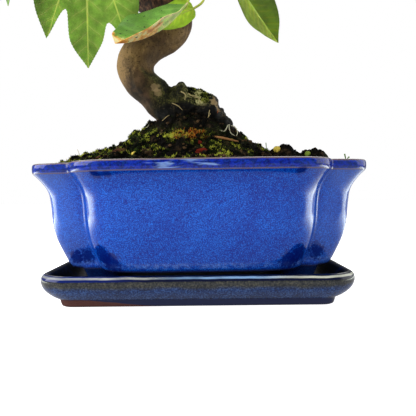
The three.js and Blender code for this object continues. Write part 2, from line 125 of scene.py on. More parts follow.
# A closed surface through rings of points that run anticlockwise seen from the last ring. A fan to a middle
# point closes each end.
def loft(rings, **values):
    rows, cols = rings.shape[:2]
    points = np.vstack([rings.reshape(-1, 3), rings[0].mean(0), rings[-1].mean(0)])
    i = np.arange(rows - 1)[:, None] * cols
    j = np.arange(cols)[None]
    k = (j + 1) % cols
    quads = np.stack([i + j, i + k, i + cols + k, i + cols + j], -1).reshape(-1, 4)
    one, two = j[0], k[0]
    first, top = rows * cols, (rows - 1) * cols
    low = np.stack([np.full(cols, first), two, one], 1)
    high = np.stack([np.full(cols, first + 1), top + one, top + two], 1)
    return dict(points=points, faces=[quads, np.vstack([low, high])], values=values)


# A tapering tube: circles square to a smooth line, each turned as little as it can be from the one before.
def tube(points, radii, sides=8, steps=None):
    steps = steps or 4 * (len(points) - 1)
    t = np.linspace(0, 1, steps + 1)
    centre = smoothLine(points, t)
    along = unit(np.gradient(centre, axis=0))
    side = np.array([1.0, 0, 0]) if abs(along[0, 2]) > 0.9 else up
    sides3 = []
    for way in along:
        side = unit(side - way * np.dot(side, way))
        sides3.append(side)
    first = np.array(sides3)
    second = np.cross(along, first)
    angle = np.arange(sides) / sides * 2 * math.pi
    radius = np.interp(t, np.linspace(0, 1, len(radii)), radii)[:, None, None]
    circle = first[:, None] * np.cos(angle)[:, None] + second[:, None] * np.sin(angle)[:, None]
    return loft(centre[:, None] + radius * circle)


# Several closed surfaces as one. Each value is given to every point; a missing one is 0.
def joined(parts):
    points, faces, start = [], {}, 0
    names = sorted({name for part in parts for name in part["values"]})
    values = {name: [] for name in names}
    for part in parts:
        count = len(part["points"])
        points.append(part["points"])
        for rows in part["faces"]:
            faces.setdefault(rows.shape[1], []).append(rows + start)
        for name in names:
            shape = next(np.shape(p["values"][name])[1:] for p in parts if name in p["values"])
            values[name].append(np.broadcast_to(part["values"].get(name, 0.0), (count, *shape)))
        start += count
    return dict(
        points=np.vstack(points),
        faces=[np.vstack(rows) for rows in faces.values()],
        values={name: np.concatenate(rows) for name, rows in values.items()},
    )


# Smooth shading, with edges that turn by more than the sharp angle, in degrees, left as edges.
def smoothed(mesh, sharp=None):
    mesh.polygons.foreach_set("use_smooth", np.ones(len(mesh.polygons), bool))
    if sharp:
        mesh.set_sharp_from_angle(angle=math.radians(sharp))


# A part as a Blender mesh object in metres. A value of two columns is its UV map, one of four a colour.
def makeObject(name, part, material=None, sharp=None):
    mesh = bpy.data.meshes.new(name)
    corners = np.concatenate([rows.ravel() for rows in part["faces"]]).astype(np.int32)
    sizes = np.concatenate([np.full(len(rows), rows.shape[1]) for rows in part["faces"]])
    mesh.vertices.add(len(part["points"]))
    mesh.vertices.foreach_set("co", (part["points"] * mm).astype(np.float32).ravel())
    mesh.loops.add(len(corners))
    mesh.loops.foreach_set("vertex_index", corners)
    mesh.polygons.add(len(sizes))
    mesh.polygons.foreach_set("loop_start", (np.cumsum(sizes) - sizes).astype(np.int32))
    mesh.update(calc_edges=True)
    for key, value in part["values"].items():
        rows = np.asarray(value, np.float32)
        if rows.ndim == 1:
            mesh.attributes.new(key, "FLOAT", "POINT").data.foreach_set("value", rows)
        elif rows.shape[1] == 2:
            mesh.uv_layers.new(name=key).data.foreach_set("uv", rows[corners].ravel())
        else:
            mesh.attributes.new(key, "FLOAT_COLOR", "POINT").data.foreach_set("color", rows.ravel())
    smoothed(mesh, sharp)
    made = bpy.data.objects.new(name, mesh)
    bpy.context.scene.collection.objects.link(made)
    if material:
        mesh.materials.append(material)
    return made


# A finished piece rides on the body, and stands for the CAD nodes that it replaces.
def declare(made, slot, *nodes):
    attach(made, "root")
    if nodes:
        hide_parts(*nodes)
    print(made.name, len(made.data.polygons), "faces")
    return made


def addPiece(name, part, material, slot, *nodes, sharp=None):
    return declare(makeObject(name, part, material, sharp), slot, *nodes)


# The mesh that an object's modifiers give, put back into it as its own mesh.
def applyModifiers(made):
    graph = bpy.context.evaluated_depsgraph_get()
    mesh = bpy.data.meshes.new_from_object(made.evaluated_get(graph))
    made.modifiers.clear()
    made.data = mesh


# A vector for each point of a mesh: its place as "co", or its "normal".
def vectorsOf(mesh, kind):
    rows = np.empty(len(mesh.vertices) * 3, np.float32)
    mesh.vertices.foreach_get(kind, rows)
    return rows.reshape(-1, 3).astype(float)


# Shader nodes.

# A colour given as it looks on a screen, from 0 to 255, turned to linear light.
def rgb(*levels):
    shares = [level / 255 for level in levels]
    return (*(s / 12.92 if s < 0.04045 else ((s + 0.055) / 1.055) ** 2.4 for s in shares), 1.0)


def link(value, socket):
    socket.id_data.links.new(value, socket)


# A new node. An input that is given as a socket is linked, and any other is set on the input itself. A node
# that is given no tree goes into the tree of its first linked socket.
def put(kind, sockets=None, tree=None, **settings):
    sockets = sockets or {}
    linked = {key: value for key, value in sockets.items() if isinstance(value, bpy.types.NodeSocket)}
    tree = tree or next(iter(linked.values())).id_data
    made = tree.nodes.new(kind)
    for key, value in settings.items():
        setattr(made, key, value)
    for key, value in sockets.items():
        if key in linked:
            link(value, made.inputs[key])
        else:
            made.inputs[key].default_value = value
    return made


def calc(operation, first, second=0.0):
    return put("ShaderNodeMath", {0: first, 1: second}, operation=operation).outputs[0]


plus, minus, times, divided = (partial(calc, name) for name in ("ADD", "SUBTRACT", "MULTIPLY", "DIVIDE"))
larger, smaller, positive = partial(calc, "MAXIMUM"), partial(calc, "MINIMUM"), partial(calc, "ABSOLUTE")


# A noise's swing to either side of 0: the noise less a half, times an amount.
def swing(value, amount):
    return times(minus(value, 0.5), amount)


def mix(factor, first, second, blend="MIX"):
    sockets = {0: factor, 6: first, 7: second}
    return put("ShaderNodeMix", sockets, data_type="RGBA", blend_type=blend).outputs[2]


def mixNumber(factor, first, second):
    return put("ShaderNodeMix", {0: factor, 2: first, 3: second}).outputs[0]


# A colour times a shade of grey.
def shaded(color, shade):
    grey = put("ShaderNodeCombineColor", {0: shade, 1: shade, 2: shade}).outputs[0]
    return mix(1.0, color, grey, "MULTIPLY")


def between(value, low, high, start=0.0, end=1.0):
    sockets = {"Value": value, "From Min": low, "From Max": high, "To Min": start, "To Max": end}
    return put("ShaderNodeMapRange", sockets, interpolation_type="SMOOTHSTEP").outputs[0]


def noiseNode(vector, size, detail=3.0, roughness=0.55):
    sockets = {"Vector": vector, "Scale": 1 / (size * mm), "Detail": detail, "Roughness": roughness}
    return put("ShaderNodeTexNoise", sockets).outputs["Fac"]


def stretched(vector, x, y, z):
    return put("ShaderNodeMapping", {"Vector": vector, "Scale": (x, y, z)}).outputs[0]


# How far a point lies along an axis, in millimetres.
def coordinate(where, axis):
    return times(put("ShaderNodeSeparateXYZ", {0: where}).outputs[axis], 1 / mm)


def attribute(tree, name, output="Fac"):
    return put("ShaderNodeAttribute", tree=tree, attribute_name=name).outputs[output]


def ramp(factor, stops):
    made = put("ShaderNodeValToRGB", {"Fac": factor})
    made.color_ramp.interpolation = "EASE"
    for _ in stops[2:]:
        made.color_ramp.elements.new(0.5)
    for element, (place, color) in zip(made.color_ramp.elements, stops):
        element.position = place
        element.color = color
    return made.outputs["Color"]


def newGroup(name, inputs, outputs):
    group = bpy.data.node_groups.new(name, "ShaderNodeTree")
    for label, value in inputs.items():
        kind = "Vector" if value is None else "Float"
        socket = group.interface.new_socket(label, in_out="INPUT", socket_type="NodeSocket" + kind)
        if value is not None:
            socket.default_value = value
    for label in outputs:
        group.interface.new_socket(label, in_out="OUTPUT", socket_type="NodeSocketFloat")
    return group, group.nodes.new("NodeGroupInput").outputs, group.nodes.new("NodeGroupOutput").inputs


def useGroup(group, sockets):
    return put("ShaderNodeGroup", sockets, node_tree=group).outputs


# The empty node tree of a material, a world or a lamp.
def emptyTree(owner):
    owner.use_nodes = True
    owner.node_tree.nodes.clear()
    return owner.node_tree


# A material with one Principled shader, whose plain numbers are set on its own sockets.
def newMaterial(name, **numbers):
    material = bpy.data.materials.new(name)
    tree = emptyTree(material)
    sockets = {key.replace("_", " "): value for key, value in numbers.items()}
    shader = put("ShaderNodeBsdfPrincipled", sockets, tree)
    put("ShaderNodeOutputMaterial", {"Surface": shader.outputs[0]})
    return material, shader, put("ShaderNodeTexCoord", tree=tree).outputs["Object"]


# The shader's colour, and its bumps from a height: how strong they are, and how deep in millimetres.
def dress(shader, color, height, strength, depth):
    link(color, shader.inputs["Base Color"])
    bumps = put("ShaderNodeBump", {"Height": height, "Strength": strength, "Distance": depth * mm})
    link(bumps.outputs[0], shader.inputs["Normal"])


# Noise in a group, so many times as large as the group's own size.
def sizedNoise(given, factor, detail):
    sockets = {"Vector": given["Vector"], "Scale": divided(1 / mm / factor, given["Size"]), "Detail": detail}
    return put("ShaderNodeTexNoise", sockets).outputs["Fac"]


# Grain of a glaze or of earth: fine specks, patches six times as large, and soft clouds.
def makeGrain():
    layers = dict(Specks=(1, 2.0), Patches=(6, 3.0), Clouds=(34, 2.0))
    group, given, result = newGroup("grain", {"Vector": None, "Size": 1.0}, layers)
    for label, (factor, detail) in layers.items():
        link(sizedNoise(given, factor, detail), result[label])
    return group


# A soft band: 1 where a value lies between two levels, whose edges wander with noise.
def makeBand():
    inputs = {"Value": 0.0, "Low": 0.0, "High": 1.0, "Soft": 0.1, "Wander": 0.0, "Vector": None, "Size": 10.0}
    group, given, result = newGroup("band", inputs, ["Mask"])
    moved = plus(given["Value"], swing(sizedNoise(given, 1, 3.0), given["Wander"]))
    opening = between(moved, given["Low"], plus(given["Low"], given["Soft"]))
    closing = between(moved, minus(given["High"], given["Soft"]), given["High"], 1.0, 0.0)
    link(times(opening, closing), result["Mask"])
    return group


# A soft spot: 1 at a place and 0 from its radius outwards, with an uneven edge. Its place is in metres.
def makeSpot():
    inputs = {"Vector": None, "Place": None, "Radius": 1.0, "Ragged": 0.3}
    group, given, result = newGroup("spot", inputs, ["Mask"])
    gap = put("ShaderNodeVectorMath", {0: given["Vector"], 1: given["Place"]}, operation="DISTANCE")
    share = divided(times(gap.outputs["Value"], 1 / mm), given["Radius"])
    moved = plus(share, swing(noiseNode(given["Vector"], 2.0), given["Ragged"]))
    link(between(moved, 0.55, 1.0, 1.0, 0.0), result["Mask"])
    return group


grain = makeGrain()
band = makeBand()
spot = makeSpot()


def grained(where, size):
    return useGroup(grain, {"Vector": where, "Size": size})


# Specks and patches of a grain, added with a weight each.
def mottled(spots, specks, patches):
    return plus(times(spots["Specks"], specks), times(spots["Patches"], patches))


def banded(where, value, low, high, soft, wander=0.0, size=10.0):
    levels = {"Value": value, "Low": low, "High": high, "Soft": soft}
    return useGroup(band, {**levels, "Wander": wander, "Vector": where, "Size": size})["Mask"]


# A colour laid over another in spots, each given by its place in millimetres, radius, strength and
# raggedness.
def spotted(where, color, laid, marks):
    for place, radius, strength, ragged in marks:
        sockets = {"Vector": where, "Place": [v * mm for v in place], "Radius": radius, "Ragged": ragged}
        color = mix(times(useGroup(spot, sockets)["Mask"], strength), color, laid)
    return color


# The view.

# The photograph's frame is 416 pixels wide. The camera looks a little down and leans a little to one side.
view = dict(place=(5.5, -360, 67), focal=509, frame=416, sensor=36, pitch=1.69, lean=0.6)


# An object put at a place, with its own x, y and z axes turned to the given ways.
def stand(made, place, *ways):
    turn = Matrix([[*row] for row in np.stack(ways, 1)]).to_4x4()
    turn.translation = [v * mm for v in place]
    made.matrix_world = turn
    bpy.context.scene.collection.objects.link(made)


def makeCamera():
    pitch, lean = math.radians(view["pitch"]), math.radians(view["lean"])
    forward = np.array([0, math.cos(pitch), -math.sin(pitch)])
    level, upright = np.array([1.0, 0, 0]), np.array([0, math.sin(pitch), math.cos(pitch)])
    right = level * math.cos(lean) - upright * math.sin(lean)
    above = upright * math.cos(lean) + level * math.sin(lean)
    data = bpy.data.cameras.new("camera")
    data.sensor_width = view["sensor"]
    data.lens = view["focal"] * view["sensor"] / view["frame"]
    data.clip_start = 0.01
    camera = bpy.data.objects.new("camera", data)
    stand(camera, view["place"], right, above, -forward)
    bpy.context.scene.camera = camera


# Each light is a soft panel: name, place, where it looks, width and height, watts, and whether rough and
# glossy surfaces get its light. The gleams lie low at the sides and only mirror in glaze.
panels = [
    ("leftPanel", (-850, -150, 520), (0, 0, 90), (900, 800), 10, True, True),
    ("rightPanel", (900, 100, 400), (0, 0, 90), (1000, 700), 4, True, True),
    ("topPanel", (-200, -100, 1300), (0, 0, 80), (700, 600), 9, True, True),
    ("backPanel", (0, 1100, 700), (0, 0, 90), (1200, 600), 4, True, True),
    ("frontFill", (-150, -1000, 420), (0, 0, 70), (900, 700), 5, True, False),
    ("leftGleam", (-520, 40, 2), (-520, 40, 900), (700, 400), 7, False, True),
    ("rightGleam", (520, 40, 2), (520, 40, 900), (760, 420), 8, False, True),
]
air = dict(seen=1.0, light=0.26, tint=(0.96, 0.98, 1.0, 1), gleam=(0.92, 1.0, 0.9, 1))


# A lamp that fades towards its four edges: its glow times a smooth rise from each edge.
def softenLamp(data):
    panel = put("ShaderNodeNewGeometry", tree=emptyTree(data)).outputs["Parametric"]
    place = put("ShaderNodeSeparateXYZ", {0: panel}).outputs
    glow = 1.0
    for axis in ("X", "Y"):
        inward = smaller(place[axis], minus(1.0, place[axis]))
        glow = times(between(inward, 0.0, 0.35), glow)
    shine = put("ShaderNodeEmission", {"Color": air["gleam"], "Strength": glow})
    put("ShaderNodeOutputLight", {"Surface": shine.outputs[0]})


def makeLights():
    scene = bpy.context.scene
    scene.view_settings.view_transform = "Standard"
    scene.world = bpy.data.worlds.new("paleAir")
    seen = put("ShaderNodeLightPath", tree=emptyTree(scene.world)).outputs["Is Camera Ray"]
    strength = mixNumber(seen, air["light"], air["seen"])
    color = mix(seen, air["tint"], (1, 1, 1, 1))
    background = put("ShaderNodeBackground", {"Color": color, "Strength": strength})
    put("ShaderNodeOutputWorld", {"Surface": background.outputs[0]})
    for name, place, target, (width, height), watts, rough, glossy in panels:
        data = bpy.data.lights.new(name, "AREA")
        data.shape = "RECTANGLE"
        data.size, data.size_y = width * mm, height * mm
        data.energy = watts
        lamp = bpy.data.objects.new(name, data)
        back = unit(np.subtract(place, target))
        side = unit(np.cross(up, back)) if abs(back[2]) < 0.99 else np.array([1.0, 0, 0])
        stand(lamp, place, side, np.cross(back, side), back)
        lamp.visible_camera = False
        lamp.visible_diffuse = rough
        lamp.visible_glossy = glossy
        if not rough:
            softenLamp(data)


floor = dict(
    half=3000, depth=-0.4, thick=4, roughness=0.9, seenGlow=0.96, glow=0.05, mirrorGlow=0.36,
    color=rgb(250, 250, 250), fleck=rgb(245, 245, 246), shade=rgb(176, 176, 180),
)


def makeFloor():
    half, z = floor["half"], floor["depth"]
    corners = np.array([[-half, -half], [half, -half], [half, half], [-half, half]], float)
    rings = np.stack([np.column_stack([corners, np.full(4, level)]) for level in (z - floor["thick"], z)])
    material, shader, where = newMaterial(
        "paper", Roughness=floor["roughness"], Specular_IOR_Level=0.0, Emission_Color=(1, 1, 1, 1),
    )
    path = put("ShaderNodeLightPath", tree=material.node_tree).outputs
    glow = mixNumber(path["Is Glossy Ray"], floor["glow"], floor["mirrorGlow"])
    link(mixNumber(path["Is Camera Ray"], glow, floor["seenGlow"]), shader.inputs["Emission Strength"])
    paper = mix(noiseNode(where, 3), floor["color"], floor["fleck"])
    link(mix(path["Is Camera Ray"], floor["shade"], paper), shader.inputs["Base Color"])
    makeObject("floor", loft(rings), material, sharp=30)


makeCamera()
makeLights()
makeFloor()
print("camera, lights and floor")


# The pot.

pot = dict(
    halfWidth=108, halfDepth=78, turn=1.6, rise=0.7, around=420,
    frontLobe=(82.3, 78, 5), sideLobe=(108, 50.5, 7), crease=110,
    baseZ=20, floorZ=27, rimZ=86.9,
    footX=62.5, footY=30, footHalf=(10, 8.5), footRound=4.5, footLow=8.9, footHigh=21.5,
    drainX=36, drainRadius=7, drainZ=(17, 29),
)
# Its wall's section: how far in from the rim at the sides and at the front, and the height.
potSection = [
    [24, 19, pot["baseZ"]], [21.8, 17.5, 21.6], [16.8, 14.7, 31.6], [13.4, 12.3, 39.5], [11.4, 10.4, 49.5],
    [10.9, 9.7, 61], [9.6, 8.6, 69.5], [4.6, 5.6, 76.3], [1.4, 2.2, 79.5], [0.2, 0.2, 80.8], [0.2, 0.2, 86],
    [1.8, 1.6, pot["rimZ"]], [7.2, 6.8, pot["rimZ"]], [9.4, 9, 84], [14.4, 13.2, 71], [20.6, 17.4, 50],
    [27, 22, 34], [34, 28, pot["floorZ"]],
]


# The rim's outline: in each direction the outer of two crossed superellipses, with a small fillet where
# they meet, because it is their power mean.
def quatrefoil(count):
    angle = np.linspace(0, 2 * math.pi, 6000, endpoint=False)
    x, y = np.cos(angle), np.sin(angle)
    front, side = (
        (np.abs(x / a) ** power + np.abs(y / b) ** power) ** (-1 / power)
        for a, b, power in (pot["frontLobe"], pot["sideLobe"])
    )
    radius = front * (1 + (side / front) ** pot["crease"]) ** (1 / pot["crease"])
    return evenly(np.stack([radius * x, radius * y], 1), count)


# The pot stands a little turned in its saucer: x and y in the pot, turned about the upright axis.
def turned(x, y):
    angle = math.radians(pot["turn"])
    return x * math.cos(angle) - y * math.sin(angle), x * math.sin(angle) + y * math.cos(angle)


# Rings of the outline drawn in from the rim by each row's two distances, at its height, which rises to the
# right in step with the height over the base.
def potRings(outline, section):
    section = np.asarray(section, float)
    x = outline[None, :, 0] * (1 - section[:, 0, None] / pot["halfWidth"])
    y = outline[None, :, 1] * (1 - section[:, 1, None] / pot["halfDepth"])
    z = section[:, 2, None]
    share = (z - pot["baseZ"]) / (pot["rimZ"] - pot["baseZ"])
    return np.stack([*turned(x, y), z + pot["rise"] * share * x / pot["halfWidth"]], -1)


# A rounded rectangle of half sizes a and b: the straight sides with quarter circles between.
def roundedRing(a, b, radius, z, steps, x=0.0, y=0.0):
    quarter = np.linspace(0, math.pi / 2, steps)
    angle = np.concatenate([quarter + k * math.pi / 2 for k in range(4)])
    signX = np.repeat([1, -1, -1, 1], steps)
    signY = np.repeat([1, 1, -1, -1], steps)
    return np.stack([
        x + signX * (a - radius) + radius * np.cos(angle),
        y + signY * (b - radius) + radius * np.sin(angle),
        np.full(len(angle), float(z)),
    ], 1)


# A solid cut out of another, or joined to it.
def cutOrJoin(target, part, operation):
    tool = makeObject("tool", part)
    step = target.modifiers.new("step", "BOOLEAN")
    step.object, step.operation, step.solver = tool, operation, "MANIFOLD"
    applyModifiers(target)
    bpy.data.objects.remove(tool)


# The wall is one loft. Four feet, which widen upwards into it, are joined on, and two drain holes are cut
# through its floor.
def makePot(material):
    outline = quatrefoil(pot["around"])
    made = addPiece("potGlazed", loft(potRings(outline, rounded(potSection))), material, "pot_glaze", "pot")
    footSection = rounded([
        [0.74, pot["footLow"]], [0.86, pot["footLow"]], [0.92, pot["footLow"] + 1.6], [1.0, 12], [1.03, 15],
        [1.16, pot["footHigh"] - 3], [1.3, pot["footHigh"]],
    ], 2)
    (halfX, halfY), corner = pot["footHalf"], pot["footRound"]
    for sx, sy in itertools.product((-1, 1), repeat=2):
        foot = loft(np.stack([
            roundedRing(halfX * s, halfY * s, corner * s, z, 7, *turned(sx * pot["footX"], sy * pot["footY"]))
            for s, z in footSection
        ]))
        cutOrJoin(made, foot, "UNION")
    for sx in (-1, 1):
        x, y = turned(sx * pot["drainX"], 0)
        drain = [roundedRing(*[pot["drainRadius"]] * 3, z, 9, x, y) for z in pot["drainZ"]]
        cutOrJoin(made, loft(np.stack(drain)), "DIFFERENCE")
    smoothed(made.data, 50)


# Cobalt glaze: a fine mottle of dark and light blue. It is deeper on the lip and breaks to grey-brown where
# it runs thin along edges. Bands are given by low and high, then how soft; lines by low, high and strength;
# fades by the two levels between which they go, and from what to what.
potGlaze = dict(
    deep=rgb(4, 36, 138), middle=rgb(4, 65, 176), light=rgb(24, 108, 220), lip=rgb(6, 30, 156),
    pool=rgb(0, 5, 84), endSheen=rgb(118, 152, 222), clay=rgb(112, 92, 92), rust=rgb(186, 120, 60),
    # The pale blue haze below is the colour of painted sheen and painted glints.
    sheenHaze=rgb(138, 172, 226), dark=rgb(2, 8, 34), navy=rgb(5, 22, 104), speckSize=0.6,
    lipBand=(80.6, 90.0, 0.7), lowBand=(21.5, 26.5, 2.0), footFade=(22.4, 20.0, 0.0, 0.85),
    # A painted sheen at the side lobes' ends, and the heights over which it fades in.
    endSheenFade=(54.0, 68.0), sheenRiseFade=(66.0, 80.0, 0.13, 0.3),
    lines=[(85.7, 87.6, 0.9), (80.0, 81.0, 0.8), (20.0, 21.2, 0.12)],
    specks=[
        ((-88, -54, 71), 1.6, 0.8, 0.9), ((-84, -52, 52), 1.3, 0.8, 0.9), ((-80, -50, 47), 1.2, 0.8, 0.9),
        ((-42, -72, 64), 1.3, 0.7, 0.9), ((-20, -71, 66), 1.4, 0.35, 0.9), ((96, -40, 61), 1.2, 0.6, 0.9),
    ],
    # Painted sheen on the lip: three soft patches where a light above is reflected.
    runs=[((-20, -78, 85), 11, 1, 0.3), ((-6, -78, 85), 14, 1, 0.3), ((8, -78, 85), 11, 1, 0.3)],
    # Painted shadows under the lip's flare, and painted dark reflections of the saucer low on the front
    # corners.
    shadowsAndReflections=[
        ((-58, -73, 77.5), 4.5, 0.8, 0.8), ((-51, -74, 78.2), 3.4, 0.7, 0.8),
        ((59, -72, 78.4), 4.5, 0.8, 0.8), ((-58, -58, 30), 8, 0.85, 1.6),
        ((-52, -58, 26), 8, 0.85, 1.6), ((-78, -38, 28), 6, 0.85, 1.6),
        ((-71, -42, 28), 6, 0.85, 1.6), ((60, -55, 30), 8, 0.85, 1.6),
        ((54, -57, 26), 8, 0.85, 1.6), ((75, -40, 29), 8, 0.85, 1.6),
    ],
)


# Heights are those of a level pot, so the rim's rise is taken off. The side lobes' ends get a painted sheen,
# a pale reflection that is strongest high up.
def makePotGlaze():
    material, shader, where = newMaterial("cobaltGlaze", Roughness=0.08, IOR=1.38, Specular_IOR_Level=0.5)
    x, z = coordinate(where, "X"), coordinate(where, "Z")
    share = divided(minus(z, pot["baseZ"]), pot["rimZ"] - pot["baseZ"])
    z = minus(z, times(times(x, pot["rise"] / pot["halfWidth"]), share))
    spots = grained(where, potGlaze["speckSize"])
    mottle = plus(mottled(spots, 0.9, 0.1), swing(spots["Clouds"], 0.15))
    color = ramp(mottle, [(0.38, potGlaze["deep"]), (0.5, potGlaze["middle"]), (0.63, potGlaze["light"])])
    # Painted sheen: the ends of the side lobes are mixed towards pale blue, as a reflection.
    ends = between(minus(positive(x), times(z, 0.25)), *potGlaze["endSheenFade"])
    color = mix(times(ends, between(z, *potGlaze["sheenRiseFade"])), color, potGlaze["endSheen"])
    lipMask = banded(where, z, *potGlaze["lipBand"])
    pooled = between(noiseNode(stretched(where, 0.7, 0.7, 1), 1.6), 0.42, 0.58)
    color = mix(times(lipMask, 0.8), color, mix(pooled, potGlaze["pool"], potGlaze["lip"]))
    # Painted sheen: pale streaks on the lip's front, where a light above is reflected.
    runs = between(noiseNode(stretched(where, 0.14, 0.14, 1), 1.8), 0.5, 0.66)
    thick = spotted(where, rgb(56, 56, 56), rgb(220, 220, 220), potGlaze["runs"])
    runs = times(runs, put("ShaderNodeSeparateColor", {0: thick}).outputs[0])
    color = mix(times(lipMask, runs), color, potGlaze["sheenHaze"])
    # Painted glints: pale flecks in a band low on the wall.
    lowGlints = times(banded(where, z, *potGlaze["lowBand"]), spots["Specks"])
    color = mix(times(lowGlints, between(spots["Patches"], 0.4, 0.64, 0.12, 0.5)), color, potGlaze["sheenHaze"])
    color = mix(between(z, *potGlaze["footFade"]), color, potGlaze["dark"])
    for low, high, strength in potGlaze["lines"]:
        color = mix(times(banded(where, z, low, high, 0.25, 0.6, 9.0), strength), color, potGlaze["clay"])
    color = spotted(where, color, potGlaze["rust"], potGlaze["specks"])
    # Painted shadows and painted dark reflections, in navy.
    color = spotted(where, color, potGlaze["navy"], potGlaze["shadowsAndReflections"])
    dress(shader, color, spots["Patches"], 0.1, 0.2)
    return material


makePot(makePotGlaze())


# The saucer.

saucer = dict(x=-1.2, halfWidth=96.2, halfDepth=69, corner=22, floorZ=8.5, steps=60)
# Its section from under the foot, out and round the lip and in to the floor: how far in at the sides and at
# the front, and the height.
saucerSection = [
    [14.6, 9.8, 0], [13.6, 8.7, 0.5], [12.6, 8.1, 4.3], [9.6, 7, 4.7], [4.8, 4.6, 6.9], [1.7, 1.7, 9.8],
    [0.3, 0.3, 12.9], [0, 0, 15.4], [0.7, 0.7, 17.8], [2.4, 2.4, 19.1], [4.2, 4.2, 19.3], [5.8, 5.8, 18.5],
    [6.8, 6.8, 16.6], [9.6, 9.6, 11.2], [12.4, 12.4, 9], [16, 16, saucer["floorZ"]],
]


# A loft of rounded rectangles, each drawn in by its row of the section. The faces inside the highest ring
# have the well's glaze.
def makeSaucer(material, wellMaterial):
    section = rounded(saucerSection, 3)
    halfWidth, halfDepth, corner = saucer["halfWidth"], saucer["halfDepth"], saucer["corner"]
    rings = np.stack([
        roundedRing(halfWidth - dx, halfDepth - dy, corner - dx, z, saucer["steps"], saucer["x"])
        for dx, dy, z in section
    ])
    mesh = addPiece("saucerGlazed", loft(rings), material, "saucer_glaze", "saucer", sharp=60).data
    mesh.materials.append(wellMaterial)
    inside = np.repeat(np.arange(len(section) - 1) > np.argmax(section[:, 2]), rings.shape[1])
    caps = np.repeat([0, 1], rings.shape[1])
    mesh.polygons.foreach_set("material_index", np.concatenate([inside, caps]).astype(np.int32))


# Darker glaze, which runs from near black through steel blue to olive under the lip. At the left it stops
# over a foot of bare clay, and from there it falls by a tenth of the way to the right, until it covers the
# foot. A painted highlight, cream and pale blue, lies along the lip's top. A tone is three colours for the
# dark, middle and light of the mottle. A zone is a band of height: low, high, how soft and how far it
# wanders.
saucerGlaze = dict(
    night=rgb(3, 4, 9), blue=rgb(4, 26, 96), highlightCream=rgb(196, 198, 180), highlightSky=rgb(128, 166, 206),
    foot=rgb(24, 32, 70), steel=[(0.38, rgb(12, 30, 70)), (0.5, rgb(28, 56, 108)), (0.62, rgb(56, 90, 146))],
    olive=[(0.38, rgb(32, 34, 38)), (0.52, rgb(54, 56, 54)), (0.64, rgb(82, 80, 68))],
    # The well's colours: the glaze's own dark, darkened further as painted shade under the pot.
    well=[(0.4, rgb(2, 3, 6)), (0.52, rgb(4, 8, 22)), (0.68, rgb(10, 22, 56))],
    clays=(rgb(74, 44, 42), rgb(106, 68, 60)), bareFrom=70, bareTo=4.9, fall=0.1, speckSize=0.9,
    zones=dict(
        olive=(10.4, 40, 3.2, 5.0), edge=(15.9, 40, 0.5, 1.0), gleam=(17.3, 18.8, 0.4, 1.0),
        top=(18.9, 40, 0.3, 0.4), foot=(-5, 4.8, 0.8, 1.0),
    ),
)


def makeSaucerGlaze():
    material, shader, where = newMaterial("slateGlaze", IOR=1.38, Specular_IOR_Level=0.5)
    x, z = coordinate(where, "X"), coordinate(where, "Z")
    spots = grained(where, saucerGlaze["speckSize"])
    mottle = mottled(spots, 0.75, 0.25)
    zone = {name: banded(where, z, *levels, 14.0) for name, levels in saucerGlaze["zones"].items()}
    color = mix(zone["olive"], ramp(mottle, saucerGlaze["steel"]), ramp(mottle, saucerGlaze["olive"]))
    edge = mix(between(x, -60.0, -25.0, 0.0, 0.8), saucerGlaze["blue"], saucerGlaze["night"])
    color = mix(zone["edge"], color, edge)
    # Painted highlight: a cream and pale blue line along the lip's top.
    gleam = times(zone["gleam"], between(spots["Clouds"], 0.4, 0.6, 0.4, 1.0))
    pale = mix(between(x, -34.0, -10.0), saucerGlaze["highlightCream"], saucerGlaze["highlightSky"])
    color = mix(gleam, color, mix(between(x, 30.0, 60.0), pale, saucerGlaze["highlightCream"]))
    color = mix(zone["top"], color, saucerGlaze["night"])
    color = mix(zone["foot"], color, saucerGlaze["foot"])
    fallen = times(larger(plus(x, saucerGlaze["bareFrom"]), 0.0), saucerGlaze["fall"])
    bare = banded(where, plus(z, fallen), -5, saucerGlaze["bareTo"], 0.5, 1.0)
    color = mix(bare, color, mix(spots["Specks"], *saucerGlaze["clays"]))
    link(between(bare, 0.0, 1.0, 0.12, 0.9), shader.inputs["Roughness"])
    dress(shader, color, plus(spots["Clouds"], times(spots["Patches"], 0.3)), 0.35, 1.0)
    return material


# The well's glaze is near black and dull with lime. Its near black is partly the glaze's own dark colour
# and partly painted shade under the pot.
def makeWellGlaze():
    material, shader, where = newMaterial("wellGlaze", Roughness=0.6, Specular_IOR_Level=0.08)
    patches = grained(where, saucerGlaze["speckSize"])["Patches"]
    dress(shader, ramp(patches, saucerGlaze["well"]), patches, 0.2, 0.4)
    return material


makeSaucer(makeSaucerGlaze(), makeWellGlaze())


# Netting over the drain holes.

# Both nets keep their CAD meshes and get one dull, dark plastic.
def makeNetting():
    material, shader, where = newMaterial("netting", Roughness=0.6)
    spots = grained(where, 0.5)
    dress(shader, mix(spots["Patches"], rgb(20, 24, 22), rgb(52, 56, 50)), spots["Specks"], 0.4, 0.2)
    for name in ("drain_mesh_left", "drain_mesh_right"):
        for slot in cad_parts[name].material_slots:
            slot.material = material


makeNetting()


# The soil.

# Mounds on the soil: x, y, width in x, width in y, and height.
soil = dict(
    edgeZ=83.4, rings=120, innermost=0.004, wallFade=0.06, crumb=0.9, seed=11,
    mounds=[
        [-6, 3, 46, 40, 43], [-76, -4, 26, 40, 6], [60, -8, 8, 9, 13], [80, -6, 10, 12, 14],
        [30, 34, 22, 20, 6], [-48, 30, 24, 22, 5], [-45, -5, 2.8, 6, 4.6], [-35.2, -8, 3.2, 6, 4.4],
        [-97, -4, 9, 60, -4],
    ],
)
# Its wall's section, as the pot's: how far in from the rim at the sides and at the front, and the height.
soilWall = [
    [34.6, 28.5, 27.4], [27.5, 22.5, 34.2], [21.1, 17.9, 50.2], [14.9, 13.7, 71.2],
    [10.2, 9.6, soil["edgeZ"]],
]


